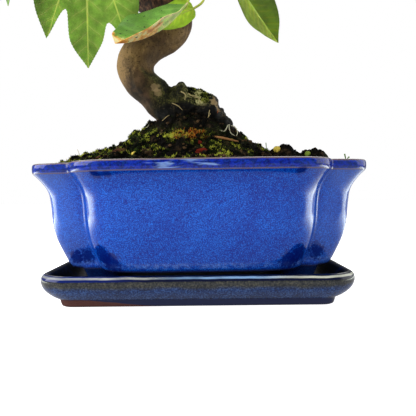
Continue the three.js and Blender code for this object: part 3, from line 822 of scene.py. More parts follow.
# Height of the soil: its level at the wall, the mounds as bell curves, a low ripple, and crumbs as layered
# noise that is sharpened upwards.
def soilHeight(x, y):
    z = np.full(np.shape(x), soil["edgeZ"])
    for mx, my, wx, wy, height in soil["mounds"]:
        z = z + height * bell((x, mx, wx), (y, my, wy))
    z = z + 0.9 * np.sin(x * 0.31 + 1.3) * np.sin(y * 0.37) + 0.6 * np.sin(x * 0.83 - y * 0.61)
    flat = np.stack([x, y, np.zeros_like(x)], -1).reshape(-1, 3)
    lumps, crumbs = layered(flat, 9, 2, soil["seed"]), layered(flat, 3.2, 3, soil["seed"] + 5)
    rough = lumps * 1.6 + np.abs(crumbs) * 1.7 - 0.6
    return z + soil["crumb"] * rough.reshape(np.shape(x))


# A loft of the wall's rings, and then of its last ring, shrunk in even steps to the middle. Those rise to the
# soil's height, smoothly from the wall.
def makeSoil(material):
    wall = potRings(quatrefoil(pot["around"]), soilWall)
    share = np.linspace(1, soil["innermost"], soil["rings"])[1:, None, None]
    top = wall[-1][None] * share
    fade = rise(1 - share[..., 0], 0, soil["wallFade"])
    top[..., 2] = soil["edgeZ"] + (soilHeight(top[..., 0], top[..., 1]) - soil["edgeZ"]) * fade
    addPiece("soilCrumbled", loft(np.vstack([wall, top])), material, "soil", "soil")


def makeEarth():
    material, shader, where = newMaterial("earth", Roughness=0.95, Specular_IOR_Level=0.08)
    spots = grained(where, 0.9)
    color = ramp(spots["Patches"], [(0.38, rgb(3, 3, 2)), (0.54, rgb(15, 12, 9)), (0.7, rgb(64, 50, 35))])
    mossy = ramp(spots["Specks"], [(0.34, rgb(6, 8, 3)), (0.5, rgb(26, 32, 12)), (0.68, rgb(80, 86, 34))])
    color = mix(times(between(spots["Clouds"], 0.5, 0.62), 0.5), color, mossy)
    dress(shader, color, plus(spots["Specks"], spots["Patches"]), 0.9, 1.2)
    return material


earth = makeEarth()
makeSoil(earth)


# The tree.

# Limbs: points along the middle, and radii.
trunk = (
    [
        [-6, 4, 76], [-8, 3, 104], [-20, 0, 125], [-35, -3, 139.5], [-43, -4, 156], [-35.2, -3, 169.5],
        [-20.2, 0, 179], [-17, 2, 191], [-32, 5, 203], [-44, 7, 214], [-51, 6, 228], [-43, 3, 243],
        [-27, -1, 255], [-17, -3, 268], [-20, -3, 283], [-31, 0, 297], [-36, 2, 312], [-32, 2, 326],
    ],
    [12, 15, 12.2, 13.2, 13.6, 12.6, 12.3, 12, 11.6, 11, 10.2, 9.2, 8.3, 7.4, 6.2, 5.2, 4.2, 3],
)
roots = [
    ([[-30, -2, 124], [-13, -3, 133], [3, -3, 124.6], [15, -3, 117], [26, -3, 98]], [8.6, 10, 8.8, 7, 4]),
    ([[-18, 4, 116], [-8, 24, 110], [0, 44, 94]], [10, 7, 4]),
    ([[-20, 4, 116], [-36, 16, 106], [-50, 32, 92]], [8, 5.5, 3.5]),
    ([[-16, -4, 112], [-32, -20, 102], [-44, -36, 90]], [8, 5, 3]),
]
branches = [
    ([[-50, 6, 228], [-66, -6, 237], [-79, -17, 242], [-90, -30, 244]], [5, 3.8, 2.9, 2.2]),
    ([[-18, -3, 266], [6, 3, 270], [30, 6, 271], [52, 4, 270]], [4.8, 3.8, 2.9, 2.2]),
    ([[-30, 0, 253], [-12, 26, 261], [4, 40, 265], [16, 50, 268]], [4.4, 3.4, 2.7, 2.1]),
    ([[-49, 6, 232], [-60, 24, 246], [-69, 38, 256], [-76, 50, 262]], [4.4, 3.4, 2.7, 2.1]),
    ([[-31, 0, 297], [-50, -5, 304], [-68, -8, 308], [-84, -8, 311]], [3.6, 2.9, 2.3, 2]),
    ([[-25, -1, 290], [-6, -9, 304], [16, -15, 313], [38, -19, 318]], [3.6, 2.9, 2.3, 2]),
    ([[-25, -1, 257], [-27, -22, 268], [-26, -40, 275], [-24, -56, 279]], [3.8, 3, 2.4, 2]),
    ([[-33, 1, 302], [-30, 22, 312], [-26, 42, 318]], [3.2, 2.5, 2]),
]

# Leafy shoots: the wood's end, where the shoot starts, its length and lift, and how many leaves are drawn
# from its seed.
shoots = [dict(zip(("name", "wood", "start", "length", "lift", "leaves", "seed"), row)) for row in (
    ("left_tip", [-90, -30, 244], [-97, -33, 246], 26, 3, 5, 106),
    ("left_back", [-78, -16, 241.5], [-81, -7, 246], 20, 6, 3, 75),
    ("right_tip", [52, 4, 270], [59, 3, 271], 26, 4, 5, 52),
    ("right_front", [28, 6, 271], [32, -3, 274], 20, 3, 3, 4),
    ("back_right", [16, 50, 268], [19, 57, 270], 24, 5, 4, 113),
    ("back_left", [-76, 50, 262], [-80, 57, 264], 24, 5, 4, 14),
    ("back_middle", [-12, 26, 261], [-20, 32, 267], 20, 6, 3, 3),
    ("upper_left", [-84, -8, 311], [-91, -8, 313], 24, 5, 4, 126),
    ("upper_right", [38, -19, 318], [44, -21, 320], 24, 5, 4, 28),
    ("front", [-24, -56, 279], [-23, -63, 281], 24, 3, 4, 95),
    ("upper_back", [-26, 42, 318], [-25, 49, 321], 22, 5, 4, 21),
    ("apex", [-32, 2, 326], [-30, 2, 333], 24, 4, 5, 125),
    ("low_left", [-72, -12, 239], [-73, -22, 240], 26, 2, 2, 121),
    ("low_front", [-21, -1, 197], [-7, -20, 209], 30, 0, 2, 36),
)]

# Tubes have so many sides and steps. Cushions of moss lie along the crest of the shoulder: x, width, and how
# far they raise or sink it. Hollows are at the bends of the trunk: height, width, depth, and the side that is
# pressed in, 1 for the left and -1 for the right.
wood = dict(
    trunkTube=(40, 150), rootTube=(28, 40), branchTube=(20, 40), spurTube=(14, 8), spurRadii=[2, 1.7],
    voxel=0.95, smoothRounds=6, cushions=[(-11.5, 3, 2.2), (-3, 4, -1.8), (7, 6, 4.2)],
    hollows=[(129, 5.4, 3.2, 1), (151, 5.2, 3.6, -1)],
)


# How mossy the wood is at a point: fully where it meets the soil and on the root shoulder, and not at all up
# the trunk. Under the shoulder it is black with earth, and on its crest the moss is bright.
def mossiness(points):
    x, z = points[:, 0], points[:, 2]
    wander = 5 * layered(points, 12, 2, 3)
    low = rise(-z + wander, -120, -110)
    shoulder = rise(x + wander + 0.3 * (z - 128), -32, -26) * rise(-z + 0.6 * wander, -155, -149)
    mossy = np.clip(low + shoulder, 0, 1)
    sooty = mossy * rise(-z + 0.8 * wander, -131, -126)
    crest = mossy * rise(x + wander, -12, -4) * (1 - sooty)
    return mossy, sooty, crest, rise(-z, -113, -107)


# Tubes are joined under one skin of small cubes and smoothed. Then each point moves along its normal: by
# knobs and cushions of moss where the wood is mossy, and elsewhere by a fine ripple.
def makeTree(material):
    parts = [tube(*trunk, *wood["trunkTube"])]
    parts += [tube(*root, *wood["rootTube"]) for root in roots]
    parts += [tube(*branch, *wood["branchTube"]) for branch in branches]
    parts += [tube([shoot["wood"], shoot["start"]], wood["spurRadii"], *wood["spurTube"]) for shoot in shoots]
    made = makeObject("treeWood", joined(parts), material)
    remesh = made.modifiers.new("skin", "REMESH")
    remesh.mode, remesh.voxel_size = "VOXEL", wood["voxel"] * mm
    soften = made.modifiers.new("soften", "SMOOTH")
    soften.factor, soften.iterations = 0.5, wood["smoothRounds"]
    applyModifiers(made)
    mesh = made.data
    points, normals = vectorsOf(mesh, "co") / mm, vectorsOf(mesh, "normal")
    mossy, sooty, crest, foot = mossiness(points)
    ragged = mossy * (0.15 + 0.85 * rise(points[:, 0], -28, -18))
    knobs = 1.9 * layered(points, 9, 3, 21) + 1.6 * np.abs(layered(points, 3.5, 2, 27))
    skin = 0.3 * layered(points * [1, 1, 0.6], 6, 3, 31)
    cushions = sum(height * bell((points[:, 0], at, wide)) for at, wide, height in wood["cushions"])
    cushions = cushions * mossy * np.clip(normals[:, 2], 0, 1) * rise(points[:, 2], 112, 122)
    points = points + normals * (ragged * (knobs - 0.8) + (1 - mossy) * skin + cushions)[:, None]
    for at, wide, depth, way in wood["hollows"]:
        points[:, 0] += way * depth * bell((points[:, 2], at, wide)) * rise(-way * normals[:, 0], 0, 0.6)
    mesh.vertices.foreach_set("co", (points * mm).astype(np.float32).ravel())
    for key, values in (("mossy", mossy), ("sooty", sooty), ("crest", crest)):
        mesh.attributes.new(key, "FLOAT", "POINT").data.foreach_set("value", values.astype(np.float32))
    smoothed(mesh)
    mesh.update()
    mesh.materials.clear()
    mesh.materials.append(material)
    declare(made, "bark", "tree")
    return points, normals, np.maximum(crest * (layered(points, 5, 2, 63) > 0.05), foot)


# Bark is olive brown low down, where it is stained, and darker and redder above. A tone is its colours from
# dark to light.
barkTones = dict(
    young=[(0.4, rgb(56, 40, 21)), (0.5, rgb(102, 78, 44)), (0.6, rgb(146, 116, 70))],
    old=[(0.38, rgb(26, 14, 9)), (0.52, rgb(60, 37, 24)), (0.66, rgb(104, 72, 48))],
    stainAndShadow=[(0.36, rgb(18, 12, 7)), (0.64, rgb(76, 56, 38))],
    mossy=[(0.4, rgb(20, 20, 9)), (0.5, rgb(46, 46, 20)), (0.6, rgb(86, 84, 40))],
    crest=[(0.42, rgb(16, 16, 7)), (0.5, rgb(92, 92, 44)), (0.59, rgb(190, 184, 126))],
    sooty=[(0.44, rgb(3, 3, 2)), (0.54, rgb(13, 12, 9)), (0.64, rgb(62, 54, 38))],
    pore=rgb(32, 22, 13), spot=rgb(176, 150, 106), stained=(166.0, 150.0), aged=(176.0, 186.0),
)
# Patches on the bark, as place, radius, strength and raggedness: dark stains, and pale spots. The dark
# patches at 172 and 173 mm high are painted shadow under the low front leaves.
barkMarks = dict(
    dark=[
        ((-41, -17, 143), 11, 0.75, 1.4), ((-33, -14, 131), 9, 0.7, 1.4), ((-46, -16, 154), 6, 0.45, 1.8),
        ((-25, -12, 126), 8, 0.6, 1.2), ((-36, -15, 172), 7, 0.6, 1.6), ((-30, -14, 160), 9, 0.45, 1.4),
        ((-27, -13, 173), 8, 0.6, 1.6),
    ],
    pale=[
        ((-28.5, -16, 138.5), 4, 0.45, 1.8), ((-27.5, -15, 135), 3.6, 0.4, 1.8),
        ((11, -11, 129), 4.2, 0.6, 1.8), ((14, -10, 125), 3, 0.5, 1.8),
    ],
)


def makeBark():
    material, shader, where = newMaterial("bark", Roughness=0.7, Specular_IOR_Level=0.2)
    z = coordinate(where, "Z")
    spots = grained(where, 1.1)
    streaks = noiseNode(stretched(where, 1, 1, 0.35), 2.2, 4.0, 0.6)
    tone = plus(times(spots["Clouds"], 0.75), times(streaks, 0.25))
    # The stain's colours serve both the real stains and the painted shadow patches.
    stainAndShadow = ramp(spots["Patches"], barkTones["stainAndShadow"])
    low = between(plus(z, times(tone, 30.0)), *barkTones["stained"], 0.0, 0.9)
    young = mix(low, ramp(tone, barkTones["young"]), stainAndShadow)
    # Dark stains, and two patches of painted shadow under the leaves.
    young = spotted(where, young, stainAndShadow, barkMarks["dark"])
    color = mix(between(z, *barkTones["aged"]), young, ramp(streaks, barkTones["old"]))
    pores = noiseNode(stretched(where, 1, 1, 2.2), 1.6, 1.0)
    color = mix(between(pores, 0.62, 0.7, 0.0, 0.75), color, barkTones["pore"])
    blotch = mottled(spots, 0.5, 0.5)
    for cover in ("mossy", "crest", "sooty"):
        color = mix(attribute(material.node_tree, cover), color, ramp(blotch, barkTones[cover]))
    color = spotted(where, color, barkTones["spot"], barkMarks["pale"])
    dress(shader, color, plus(streaks, times(spots["Specks"], 0.4)), 0.5, 0.7)
    return material


bark = makeBark()
woodPoints, woodNormals, woodMoss = makeTree(bark)


# The leaves.

# Outlines of the four kinds of leaf, from one side of the base round the tip to the other: degrees off the
# midrib, then distance from the base as a share of the length. Corners are the points that stay sharp.
outlines = dict(
    lobed=[
        [-64, 0.18], [-46, 0.48], [-33, 0.69], [-19.3, 0.85], [-13.2, 0.68], [-7.2, 0.82], [0, 1],
        [8.7, 0.82], [15.1, 0.598], [20.6, 0.845], [33, 0.68], [46, 0.51], [64, 0.19],
    ],
    oval=[
        [-58, 0.16], [-38, 0.46], [-24, 0.636], [-12, 0.8], [-4.5, 0.91], [0, 1], [4.5, 0.91], [12, 0.8],
        [24, 0.636], [38, 0.46], [58, 0.16],
    ],
    blunt=[
        [-58, 0.11], [-38, 0.36], [-24, 0.61], [-12, 0.81], [-4.5, 0.92], [0, 1], [8, 0.94], [14.5, 0.855],
        [24, 0.71], [38, 0.49], [58, 0.16],
    ],
    ovate=[
        [-90, 0.08], [-68, 0.24], [-40, 0.45], [-22, 0.65], [-8.5, 0.81], [0, 1], [8.5, 0.81], [22, 0.67],
        [40, 0.5], [68, 0.33], [90, 0.12],
    ],
)
corners = dict(lobed=(3, 6, 9), oval=(5,), blunt=(5,), ovate=(5,))
# Fine and plain blades have so many teeth on a side and rings. The rib is a groove above and a ridge below,
# with a share of its depth each. A drawn leaf's measures are the least and how much more they can be.
foliage = dict(
    thick=0.32, wave=0.012, waves=14, tooth=0.006, ribWidth=0.7, ribDepth=0.35, ribShares=(0.6, 1.6),
    fine=(61, 10), plain=(21, 6), stemRadii=[1.5, 1.35, 1.2, 0.95], petioleRadii=[0.95, 0.85, 0.8, 0.4],
    windDegrees=137.5, spurGap=0.45, petiole=(12, 7), length=(46, 16), fold=(0.12, 0.2), curl=(20, 30),
    stalk=rgb(196, 202, 84),
    greens=[rgb(96, 146, 52), rgb(74, 126, 50), rgb(128, 168, 60), rgb(84, 134, 70), rgb(112, 152, 48)],
)

# The leaves that the photograph shows: how far along the stem, the petiole's bend, the blade's base, the way
# its midrib heads and the way its upper face looks.
placed = dict(
    low_left=[
        dict(along=0.9, bend=[-67.5, -51, 236], base=[-65.3, -52, 221.6], heading=[0.02, -0.126, -0.992],
             face=[0.16, -0.98, 0.126], kind="lobed", length=79.6, fold=0.05, curl=12, phase=0,
             color=rgb(121, 166, 56)),
        dict(along=0.2, bend=[-74, -27, 232], base=[-74, -28, 215], heading=[0.66, -0.2, -0.72],
             face=[0.5, -0.7, 0.5], kind="oval", length=49.5, fold=0.15, curl=20, phase=2,
             color=rgb(112, 160, 52)),
        dict(along=0.7, bend=[-90, -42, 246], base=[-104, -40, 236], heading=[-0.42, 0.1, -0.9],
             face=[-0.6, -0.7, 0.3], kind="oval", length=52, fold=0.2, curl=15, phase=1,
             color=rgb(98, 148, 52)),
    ],
    low_front=[
        dict(along=0.6, bend=[-1, -47, 199], base=[-5.6, -50, 180.9], heading=[-0.48, -0.28, -0.832],
             face=[-0.526, -0.667, 0.527], kind="blunt", length=60.5, fold=0.6, curl=-47, phase=0,
             color=rgb(108, 163, 58), burnt=1),
        dict(along=0.35, bend=[4.5, -21, 196], base=[-2.6, -18, 189.6], heading=[-0.9, -0.12, -0.4],
             face=[0.1, -0.95, 0.25], kind="ovate", length=31.5, fold=0.12, curl=15, phase=0,
             color=rgb(147, 186, 44)),
        dict(along=0.85, bend=[20, -38, 213], base=[24, -35, 201.1], heading=[0.528, 0.005, -0.85],
             face=[-0.673, -0.608, -0.421], kind="oval", length=47.6, fold=-0.41, curl=8, phase=0,
             color=rgb(144, 174, 46), halves=1),
    ],
)


# The margin of a leaf at length one: smooth between corners, with saw teeth that lean towards the tip. It
# gives the smooth line and the way and size of each tooth.
def margin(kind, teeth):
    angle, reach = np.array(outlines[kind]).T
    angle = np.radians(angle)
    spots = np.stack([reach * np.sin(angle), reach * np.cos(angle)], 1)
    ends = [0, *corners[kind], len(spots) - 1]
    line = np.vstack([
        smoothLine(spots[a:b + 1], np.linspace(0, 1, 60))[:-1] for a, b in zip(ends[:-1], ends[1:])
    ] + [spots[-1:]])
    tip = corners[kind][len(corners[kind]) // 2]
    middle = np.argmin(np.linalg.norm(line - spots[tip], axis=1))
    sides = []
    for half in (line[:middle + 1], line[middle:][::-1]):
        length = np.concatenate([[0], np.cumsum(np.linalg.norm(np.diff(half, axis=0), axis=1))])
        at = np.linspace(0, length[-1], 4 * teeth + 1)
        sides.append(np.stack([np.interp(at, length, half[:, k]) for k in (0, 1)], 1))
    smooth = np.vstack([sides[0], sides[1][::-1][1:]])
    outward = unit(np.gradient(smooth, axis=0))[:, ::-1] * [-1, 1]
    tooth = np.tile([0.0, 0.35, 0.7, 1.0], teeth)
    size = np.concatenate([tooth, [0.0], tooth[::-1]])
    return smooth, outward * size[:, None] * foliage["tooth"] * (0.5 if kind == "lobed" else 1)


# What is mixed into a darker half, and into a folded half and its edge. The folded half's pale green is
# partly painted light, which makes up for the shade it lies in.
paints = dict(halfDark=rgb(79, 108, 10), folded=rgb(220, 246, 122), edge=rgb(236, 236, 150))


# Colours of a blade's points, how burnt they are, and which lie on a half that is folded over. They come from
# the points' places on the flat map and how far out they lie. A lobed leaf has painted shade on its side
# lobes, more on one of them, and at its tip. One leaf has a darker left half. The burnt one's folded half is
# pale, partly its own colour and partly painted light that makes up for its shade, with a light edge.
def bladeColors(leaf, flat, out):
    x, y = flat.T
    color = np.tile(leaf["color"], (len(flat), 1))
    burn = np.zeros(len(flat))
    folded = burn
    if leaf["kind"] == "lobed":
        # Painted shade: both side lobes darker, one more than the other, and the tip darker.
        lobeShade = 0.4 * rise(np.abs(x), 0.2, 0.34) + 0.14 * rise(x, 0.2, 0.34)
        color = color * (1.1 - lobeShade - 0.32 * rise(y, 0.76, 0.9))[:, None]
    if leaf.get("halves"):
        dark = rise(-x, -0.01, 0.01)[:, None]
        color = color * (1 - dark) + np.array(paints["halfDark"]) * dark
    if leaf.get("burnt"):
        folded = rise(-x, -0.005, 0.012)
        edge = folded * rise(out, 0.8, 0.9)
        burn = np.maximum(folded * rise(y, 0.44, 0.58), rise(y, 0.8, 0.93))
        burn = np.maximum(burn * (1 - 0.6 * edge * rise(-y, -0.7, -0.5)), 0.1)
        # Painted light in part: the folded half is mixed towards a pale green that makes up for its shade.
        color = color * (1 - 0.8 * folded[:, None]) + np.array(paints["folded"]) * folded[:, None]
        color = color * (1 - edge[:, None]) + np.array(paints["edge"]) * 1.1 * edge[:, None]
    return color, burn, folded


# A leaf blade at its place. A point at x across and y along the midrib is lifted by the fold times its
# distance from the midrib and by a wave, and then bent on a circle through curl degrees from base to tip.
def blade(leaf, teeth, rings):
    length = leaf["length"]
    smooth, tooth = margin(leaf["kind"], teeth)
    spokes = len(smooth)
    share = (np.arange(1, rings + 1) / rings)[:, None, None]
    flat = np.vstack([[[0, 0]], (smooth * share + tooth * share ** 8).reshape(-1, 2)])
    x, y = flat.T * length
    bend = math.radians(leaf["curl"])
    radius = length / bend
    ripple = foliage["wave"] * length * np.sin(foliage["waves"] * y / length + leaf["phase"])
    ripple = ripple * np.minimum(1, 4 * abs(x) / length)
    heading = unit(np.array(leaf["heading"], float))
    across = unit(np.cross(heading, leaf["face"]))
    basis = np.stack([across, heading, np.cross(across, heading)])
    sheets = []
    for way, ribShare in zip((1, -1), foliage["ribShares"]):
        lift = way * foliage["thick"] / 2
        rib = -foliage["ribDepth"] * way * bell((x, 0, foliage["ribWidth"])) * (1 - flat[:, 1])
        high = radius + leaf["fold"] * np.sqrt(x * x + 0.3) + ripple + lift + rib * ribShare
        turn = bend * y / length
        local = np.stack([x, np.sin(turn) * high, np.cos(turn) * high - radius], 1)
        sheets.append(local @ basis + leaf["base"])
    count = len(flat)
    s = np.arange(spokes - 1)
    row = 1 + np.arange(rings - 1)[:, None] * spokes
    upper = np.stack([row + s, row + s + 1, row + spokes + s + 1, row + spokes + s], -1).reshape(-1, 4)
    fan = np.stack([np.zeros_like(s), 2 + s, 1 + s], 1)
    ring = 1 + (rings - 1) * spokes
    rows = 1 + np.arange(rings - 1) * spokes
    loop = np.concatenate([ring + np.arange(spokes), rows[::-1] + spokes - 1, [0], rows])
    after = np.roll(loop, -1)
    edge = np.stack([loop, after, after + count, loop + count], 1)
    quads = np.vstack([upper, upper[:, ::-1] + count, edge])
    tris = np.vstack([fan[:, [0, 2, 1]], fan + count])
    out = np.concatenate([[0.0], np.repeat(share[:, 0, 0], spokes)])
    color, burn, folded = bladeColors(leaf, flat, out)
    values = dict(
        veinMap=np.tile(flat, (2, 1)),
        tint=np.tile(color, (2, 1)),
        lobed=np.full(2 * count, float(leaf["kind"] == "lobed")),
        under=np.concatenate([np.zeros(count), 1 - folded]),
        burnt=np.tile(burn, 2),
    )
    return dict(points=np.vstack(sheets), faces=[quads, tris], values=values)


# The stem of a shoot, which bends up by its lift times the square of the way along, and its leaves. The drawn
# ones wind round the stem by the same angle from one to the next.
def leavesOf(shoot):
    start = np.array(shoot["start"], float)
    way0 = unit(start - shoot["wood"])

    def stem(s):
        return start + way0 * (foliage["spurGap"] + s * shoot["length"]) + up * shoot["lift"] * s * s

    def drawn(measure, share):
        least, more = foliage[measure]
        return least + more * share

    leaves = [dict(leaf, foot=stem(leaf["along"]), fine=True) for leaf in placed.get(shoot["name"], [])]
    for i in range(shoot["leaves"]):
        r = [draw(shoot["seed"], 10 * i + k) for k in range(10)]
        last = i == shoot["leaves"] - 1
        s = 0.25 + 0.75 * i / (shoot["leaves"] - 1)
        along = unit(way0 * shoot["length"] + up * 2 * shoot["lift"] * s)
        side = unit(np.cross(along, up))
        over = np.cross(side, along)
        wound = foliage["windDegrees"] * i
        angle = math.radians(wound + 360 * draw(shoot["seed"], 99) + 30 * (r[1] - 0.5))
        out = side * math.cos(angle) + over * abs(math.sin(angle))
        way = unit(along if last else along * 0.35 + out)
        foot = stem(s)
        heading = unit(way + up * (-0.3 - 0.5 * r[3]))
        across = unit(np.cross(heading, up))
        leaves.append(dict(
            foot=foot, bend=foot + way * 7 + up * 1.5, base=foot + way * drawn("petiole", r[2]),
            heading=heading, face=np.cross(across, heading) + across * 0.5 * (r[4] - 0.5),
            kind="lobed" if r[5] < 0.4 else "oval" if r[5] < 0.9 else "ovate",
            length=drawn("length", r[6]), fold=drawn("fold", r[7]), curl=drawn("curl", r[8]), phase=6 * r[9],
            color=foliage["greens"][int(5 * draw(shoot["seed"], 10 * i + 50)) % 5],
        ))
    return stem, leaves


# A shoot in one mesh: tubes for its stem and for the stalk of each leaf, and the blades.
def makeShoot(shoot, material):
    stem, leaves = leavesOf(shoot)
    bits = [tube([stem(s) for s in (0, 0.33, 0.67, 1)], foliage["stemRadii"], 10, 12)]
    for leaf in leaves:
        inBlade = leaf["base"] + unit(np.array(leaf["heading"], float)) * 5
        bits.append(tube([leaf["foot"], leaf["bend"], leaf["base"], inBlade], foliage["petioleRadii"], 8, 15))
    for bit in bits:
        count = len(bit["points"])
        bit["values"] = dict(
            veinMap=np.full((count, 2), 0.5), tint=np.tile(foliage["stalk"], (count, 1)),
            lobed=np.zeros(count), under=np.full(count, 0.5), burnt=np.zeros(count),
        )
    bits += [blade(leaf, *foliage["fine" if leaf.get("fine") else "plain"]) for leaf in leaves]
    name = shoot["name"]
    addPiece("leaves_" + name, joined(bits), material, "leaf", "shoot_" + name, sharp=55)


# Widths and gaps of the veins, as shares of the leaf's length.
veins = dict(
    midrib=(0.0135, 0.003), soft=0.003, sideSpread=0.352, sideBow=0.85, sideWidth=0.7, sideReach=1.05,
    leave=0.95, bow=0.9, stagger=0.045, gap=0.098, wobble=0.5, net=55.0,
)


# The veins of a leaf from its flat map, x across and y along in shares of its length: the midrib, two side
# ribs where it is lobed, and pairs of finer veins that leave the midrib and curve towards the tip.
def makeVeins():
    group, given, result = newGroup("veins", {"Map": None, "Lobed": 0.0}, ["Ribs", "Fine", "Net"])
    place = put("ShaderNodeSeparateXYZ", {0: given["Map"]}).outputs
    x, y = place["X"], place["Y"]
    width = between(y, 0.0, 1.0, *veins["midrib"])

    def line(away, width):
        return between(minus(away, width), -veins["soft"], veins["soft"], 1.0, 0.0)

    away = positive(x)
    sideLine = times(calc("POWER", larger(y, 0.0), veins["sideBow"]), veins["sideSpread"])
    sideAway = positive(minus(away, sideLine))
    ribs = larger(line(away, width), times(line(sideAway, times(width, veins["sideWidth"])), given["Lobed"]))
    sideAway = times(sideAway, veins["sideReach"])
    fromRib = mixNumber(given["Lobed"], away, smaller(away, sideAway))
    bowed = minus(times(fromRib, veins["leave"]), times(times(fromRib, fromRib), veins["bow"]))
    stagger = times(calc("GREATER_THAN", x, 0.0), veins["stagger"])
    along = divided(plus(minus(y, bowed), stagger), veins["gap"])
    wobble = put("ShaderNodeTexNoise", {"Vector": given["Map"], "Scale": 9.0, "Detail": 1.0}).outputs["Fac"]
    along = plus(along, swing(wobble, veins["wobble"]))
    gap = positive(minus(calc("FRACT", along), 0.5))
    fine = plus(between(gap, 0.44, 0.49), between(gap, 0.1, 0.48, 0.0, 0.45))
    meeting = larger(between(positive(minus(away, sideAway)), 0.0, 0.06), minus(1.0, given["Lobed"]))
    fine = times(fine, times(meeting, between(fromRib, 0.2, 0.1)))
    cells = {"Vector": given["Map"], "Scale": veins["net"]}
    net = put("ShaderNodeTexVoronoi", cells, feature="DISTANCE_TO_EDGE").outputs["Distance"]
    link(ribs, result["Ribs"])
    link(fine, result["Fine"])
    link(between(net, 0.0, 0.12, 1.0, 0.0), result["Net"])
    return group


# Colours of the veins, the underside and the burnt patch. Along fine veins the green is paler. The burnt
# patch's browns are light, partly painted light that makes up for the shade of the folded half.
leafTones = dict(
    vein=(1.8, 1.28, 2.0, 1), rib=rgb(190, 206, 92), under=rgb(140, 168, 80), hole=rgb(16, 24, 12),
    brown=[(0.38, rgb(216, 136, 58)), (0.5, rgb(255, 200, 102)), (0.62, rgb(255, 236, 176))],
)


def makeLeafGreen():
    material, shader, where = newMaterial(
        "leafGreen", Specular_IOR_Level=0.22, Subsurface_Weight=0.25, Subsurface_Radius=(0.4, 1.0, 0.15),
        Subsurface_Scale=0.0006,
    )
    tree = material.node_tree
    flat = put("ShaderNodeUVMap", tree=tree, uv_map="veinMap").outputs[0]
    lines = useGroup(makeVeins(), {"Map": flat, "Lobed": attribute(tree, "lobed")})
    spots = grained(where, 0.8)
    shade = between(spots["Clouds"], 0.35, 0.65, 0.72, 1.18)
    shade = times(shade, between(spots["Patches"], 0.35, 0.65, 0.8, 1.1))
    color = shaded(attribute(tree, "tint", "Color"), shade)
    veined = mix(1.0, color, leafTones["vein"], "MULTIPLY")
    color = mix(plus(times(lines["Net"], 0.3), times(lines["Fine"], 0.75)), color, veined)
    color = mix(times(lines["Ribs"], 0.8), color, leafTones["rib"])
    under, burnt = attribute(tree, "under"), attribute(tree, "burnt")
    color = mix(times(under, 0.4), color, leafTones["under"])
    scorched = between(plus(burnt, swing(spots["Patches"], 1.1)), 0.5, 0.75)
    # The burnt browns are partly painted light, lighter than the shaded half they lie on would show.
    color = mix(scorched, color, ramp(spots["Patches"], leafTones["brown"]))
    holes = times(between(noiseNode(where, 2.2, 1.0), 0.69, 0.73), burnt)
    color = mix(between(holes, 0.02, 0.08), color, leafTones["hole"])
    link(between(under, 0.4, 0.6, 0.38, 0.6), shader.inputs["Roughness"])
    dress(shader, color, plus(times(lines["Fine"], -0.8), times(lines["Net"], -0.25)), 0.5, 0.5)
    return material


leafGreen = makeLeafGreen()
for shoot in shoots:
    makeShoot(shoot, leafGreen)


# Moss and small things on the soil.

# Three-sided spikes: a small triangle round each foot, a little sunk and dark, and a tip along its way.
def spikes(feet, ways, lengths, widths, turns, color):
    side = unit(np.cross(ways, np.array([0.31, 0.87, 0.38])))
    other = np.cross(ways, side)
    angle = turns[:, None] + np.arange(3) * 2 * math.pi / 3
    circle = np.cos(angle)[..., None] * side[:, None] + np.sin(angle)[..., None] * other[:, None]
    base = feet[:, None] + circle * widths[:, None, None] - ways[:, None] * moss["sunk"]
    tip = (feet + ways * lengths[:, None])[:, None]
    points = np.concatenate([base, tip], 1).reshape(-1, 3)
    start = 4 * np.arange(len(feet))[:, None, None]
    tris = (start + np.array([[0, 1, 3], [1, 2, 3], [2, 0, 3], [0, 2, 1]])).reshape(-1, 3)
    height = np.tile([*[moss["footShade"]] * 3, 1.0], len(feet))[:, None]
    tint = np.repeat(color, 4, 0) * np.hstack([height] * 3 + [height ** 0])
    return dict(points=points, faces=[tris], values=dict(tint=tint))


# Small rough lumps: twenty-sided bodies, mirrored on a random plane, whose corners are drawn in or out.
def lumps(centres, sizes, random, color):
    golden = (1 + 5 ** 0.5) / 2
    ring = [(0, a, b * golden) for a, b in itertools.product((-1, 1), repeat=2)]
    corner = np.array([p[k:] + p[:k] for k in range(3) for p in ring], float)
    apart = np.linalg.norm(corner[:, None] - corner, axis=-1)
    faces = []
    for a, b, c in itertools.combinations(range(12), 3):
        if max(apart[a, b], apart[a, c], apart[b, c]) < 2.01:
            outward = np.dot(np.cross(corner[b] - corner[a], corner[c] - corner[a]), corner[a]) > 0
            faces.append((a, b, c) if outward else (c, b, a))
    corner = unit(corner)
    turn = unit(random.normal(size=(len(centres), 3)))
    turned = corner[None] - 2 * turn[:, None] * (corner[None] @ turn[:, :, None])
    turned[..., 0] *= -1
    jitter = random.uniform(0.72, 1.2, (len(centres), 12, 1))
    points = centres[:, None] + turned * jitter * sizes[:, None, None] * [1, 1, 0.8]
    tris = (12 * np.arange(len(centres))[:, None, None] + np.array(faces)).reshape(-1, 3)
    return dict(points=points.reshape(-1, 3), faces=[tris], values=dict(tint=np.repeat(color, 12, 0)))


moss = dict(
    tufts=4800, woodTufts=900, woodSize=0.6, spikesEach=8, spread=1.1, length=(0.6, 1.7), width=0.34,
    sunk=0.4, footShade=0.12, seed=5,
    dark=rgb(6, 9, 4), green=rgb(56, 78, 24), bright=rgb(206, 212, 76), orange=rgb(208, 100, 36),
    glowAt=(-6.5, -29), glowWide=(12, 7), shade=0.3, shadeAt=-38, shadeWide=15,
)


# How near a place on the soil is to the orange patch, from 0 to 1 at its middle: a bell curve.
def glowing(x, y):
    (gx, gy), (wx, wy) = moss["glowAt"], moss["glowWide"]
    return bell((x, gx, wx), (y, gy, wy))


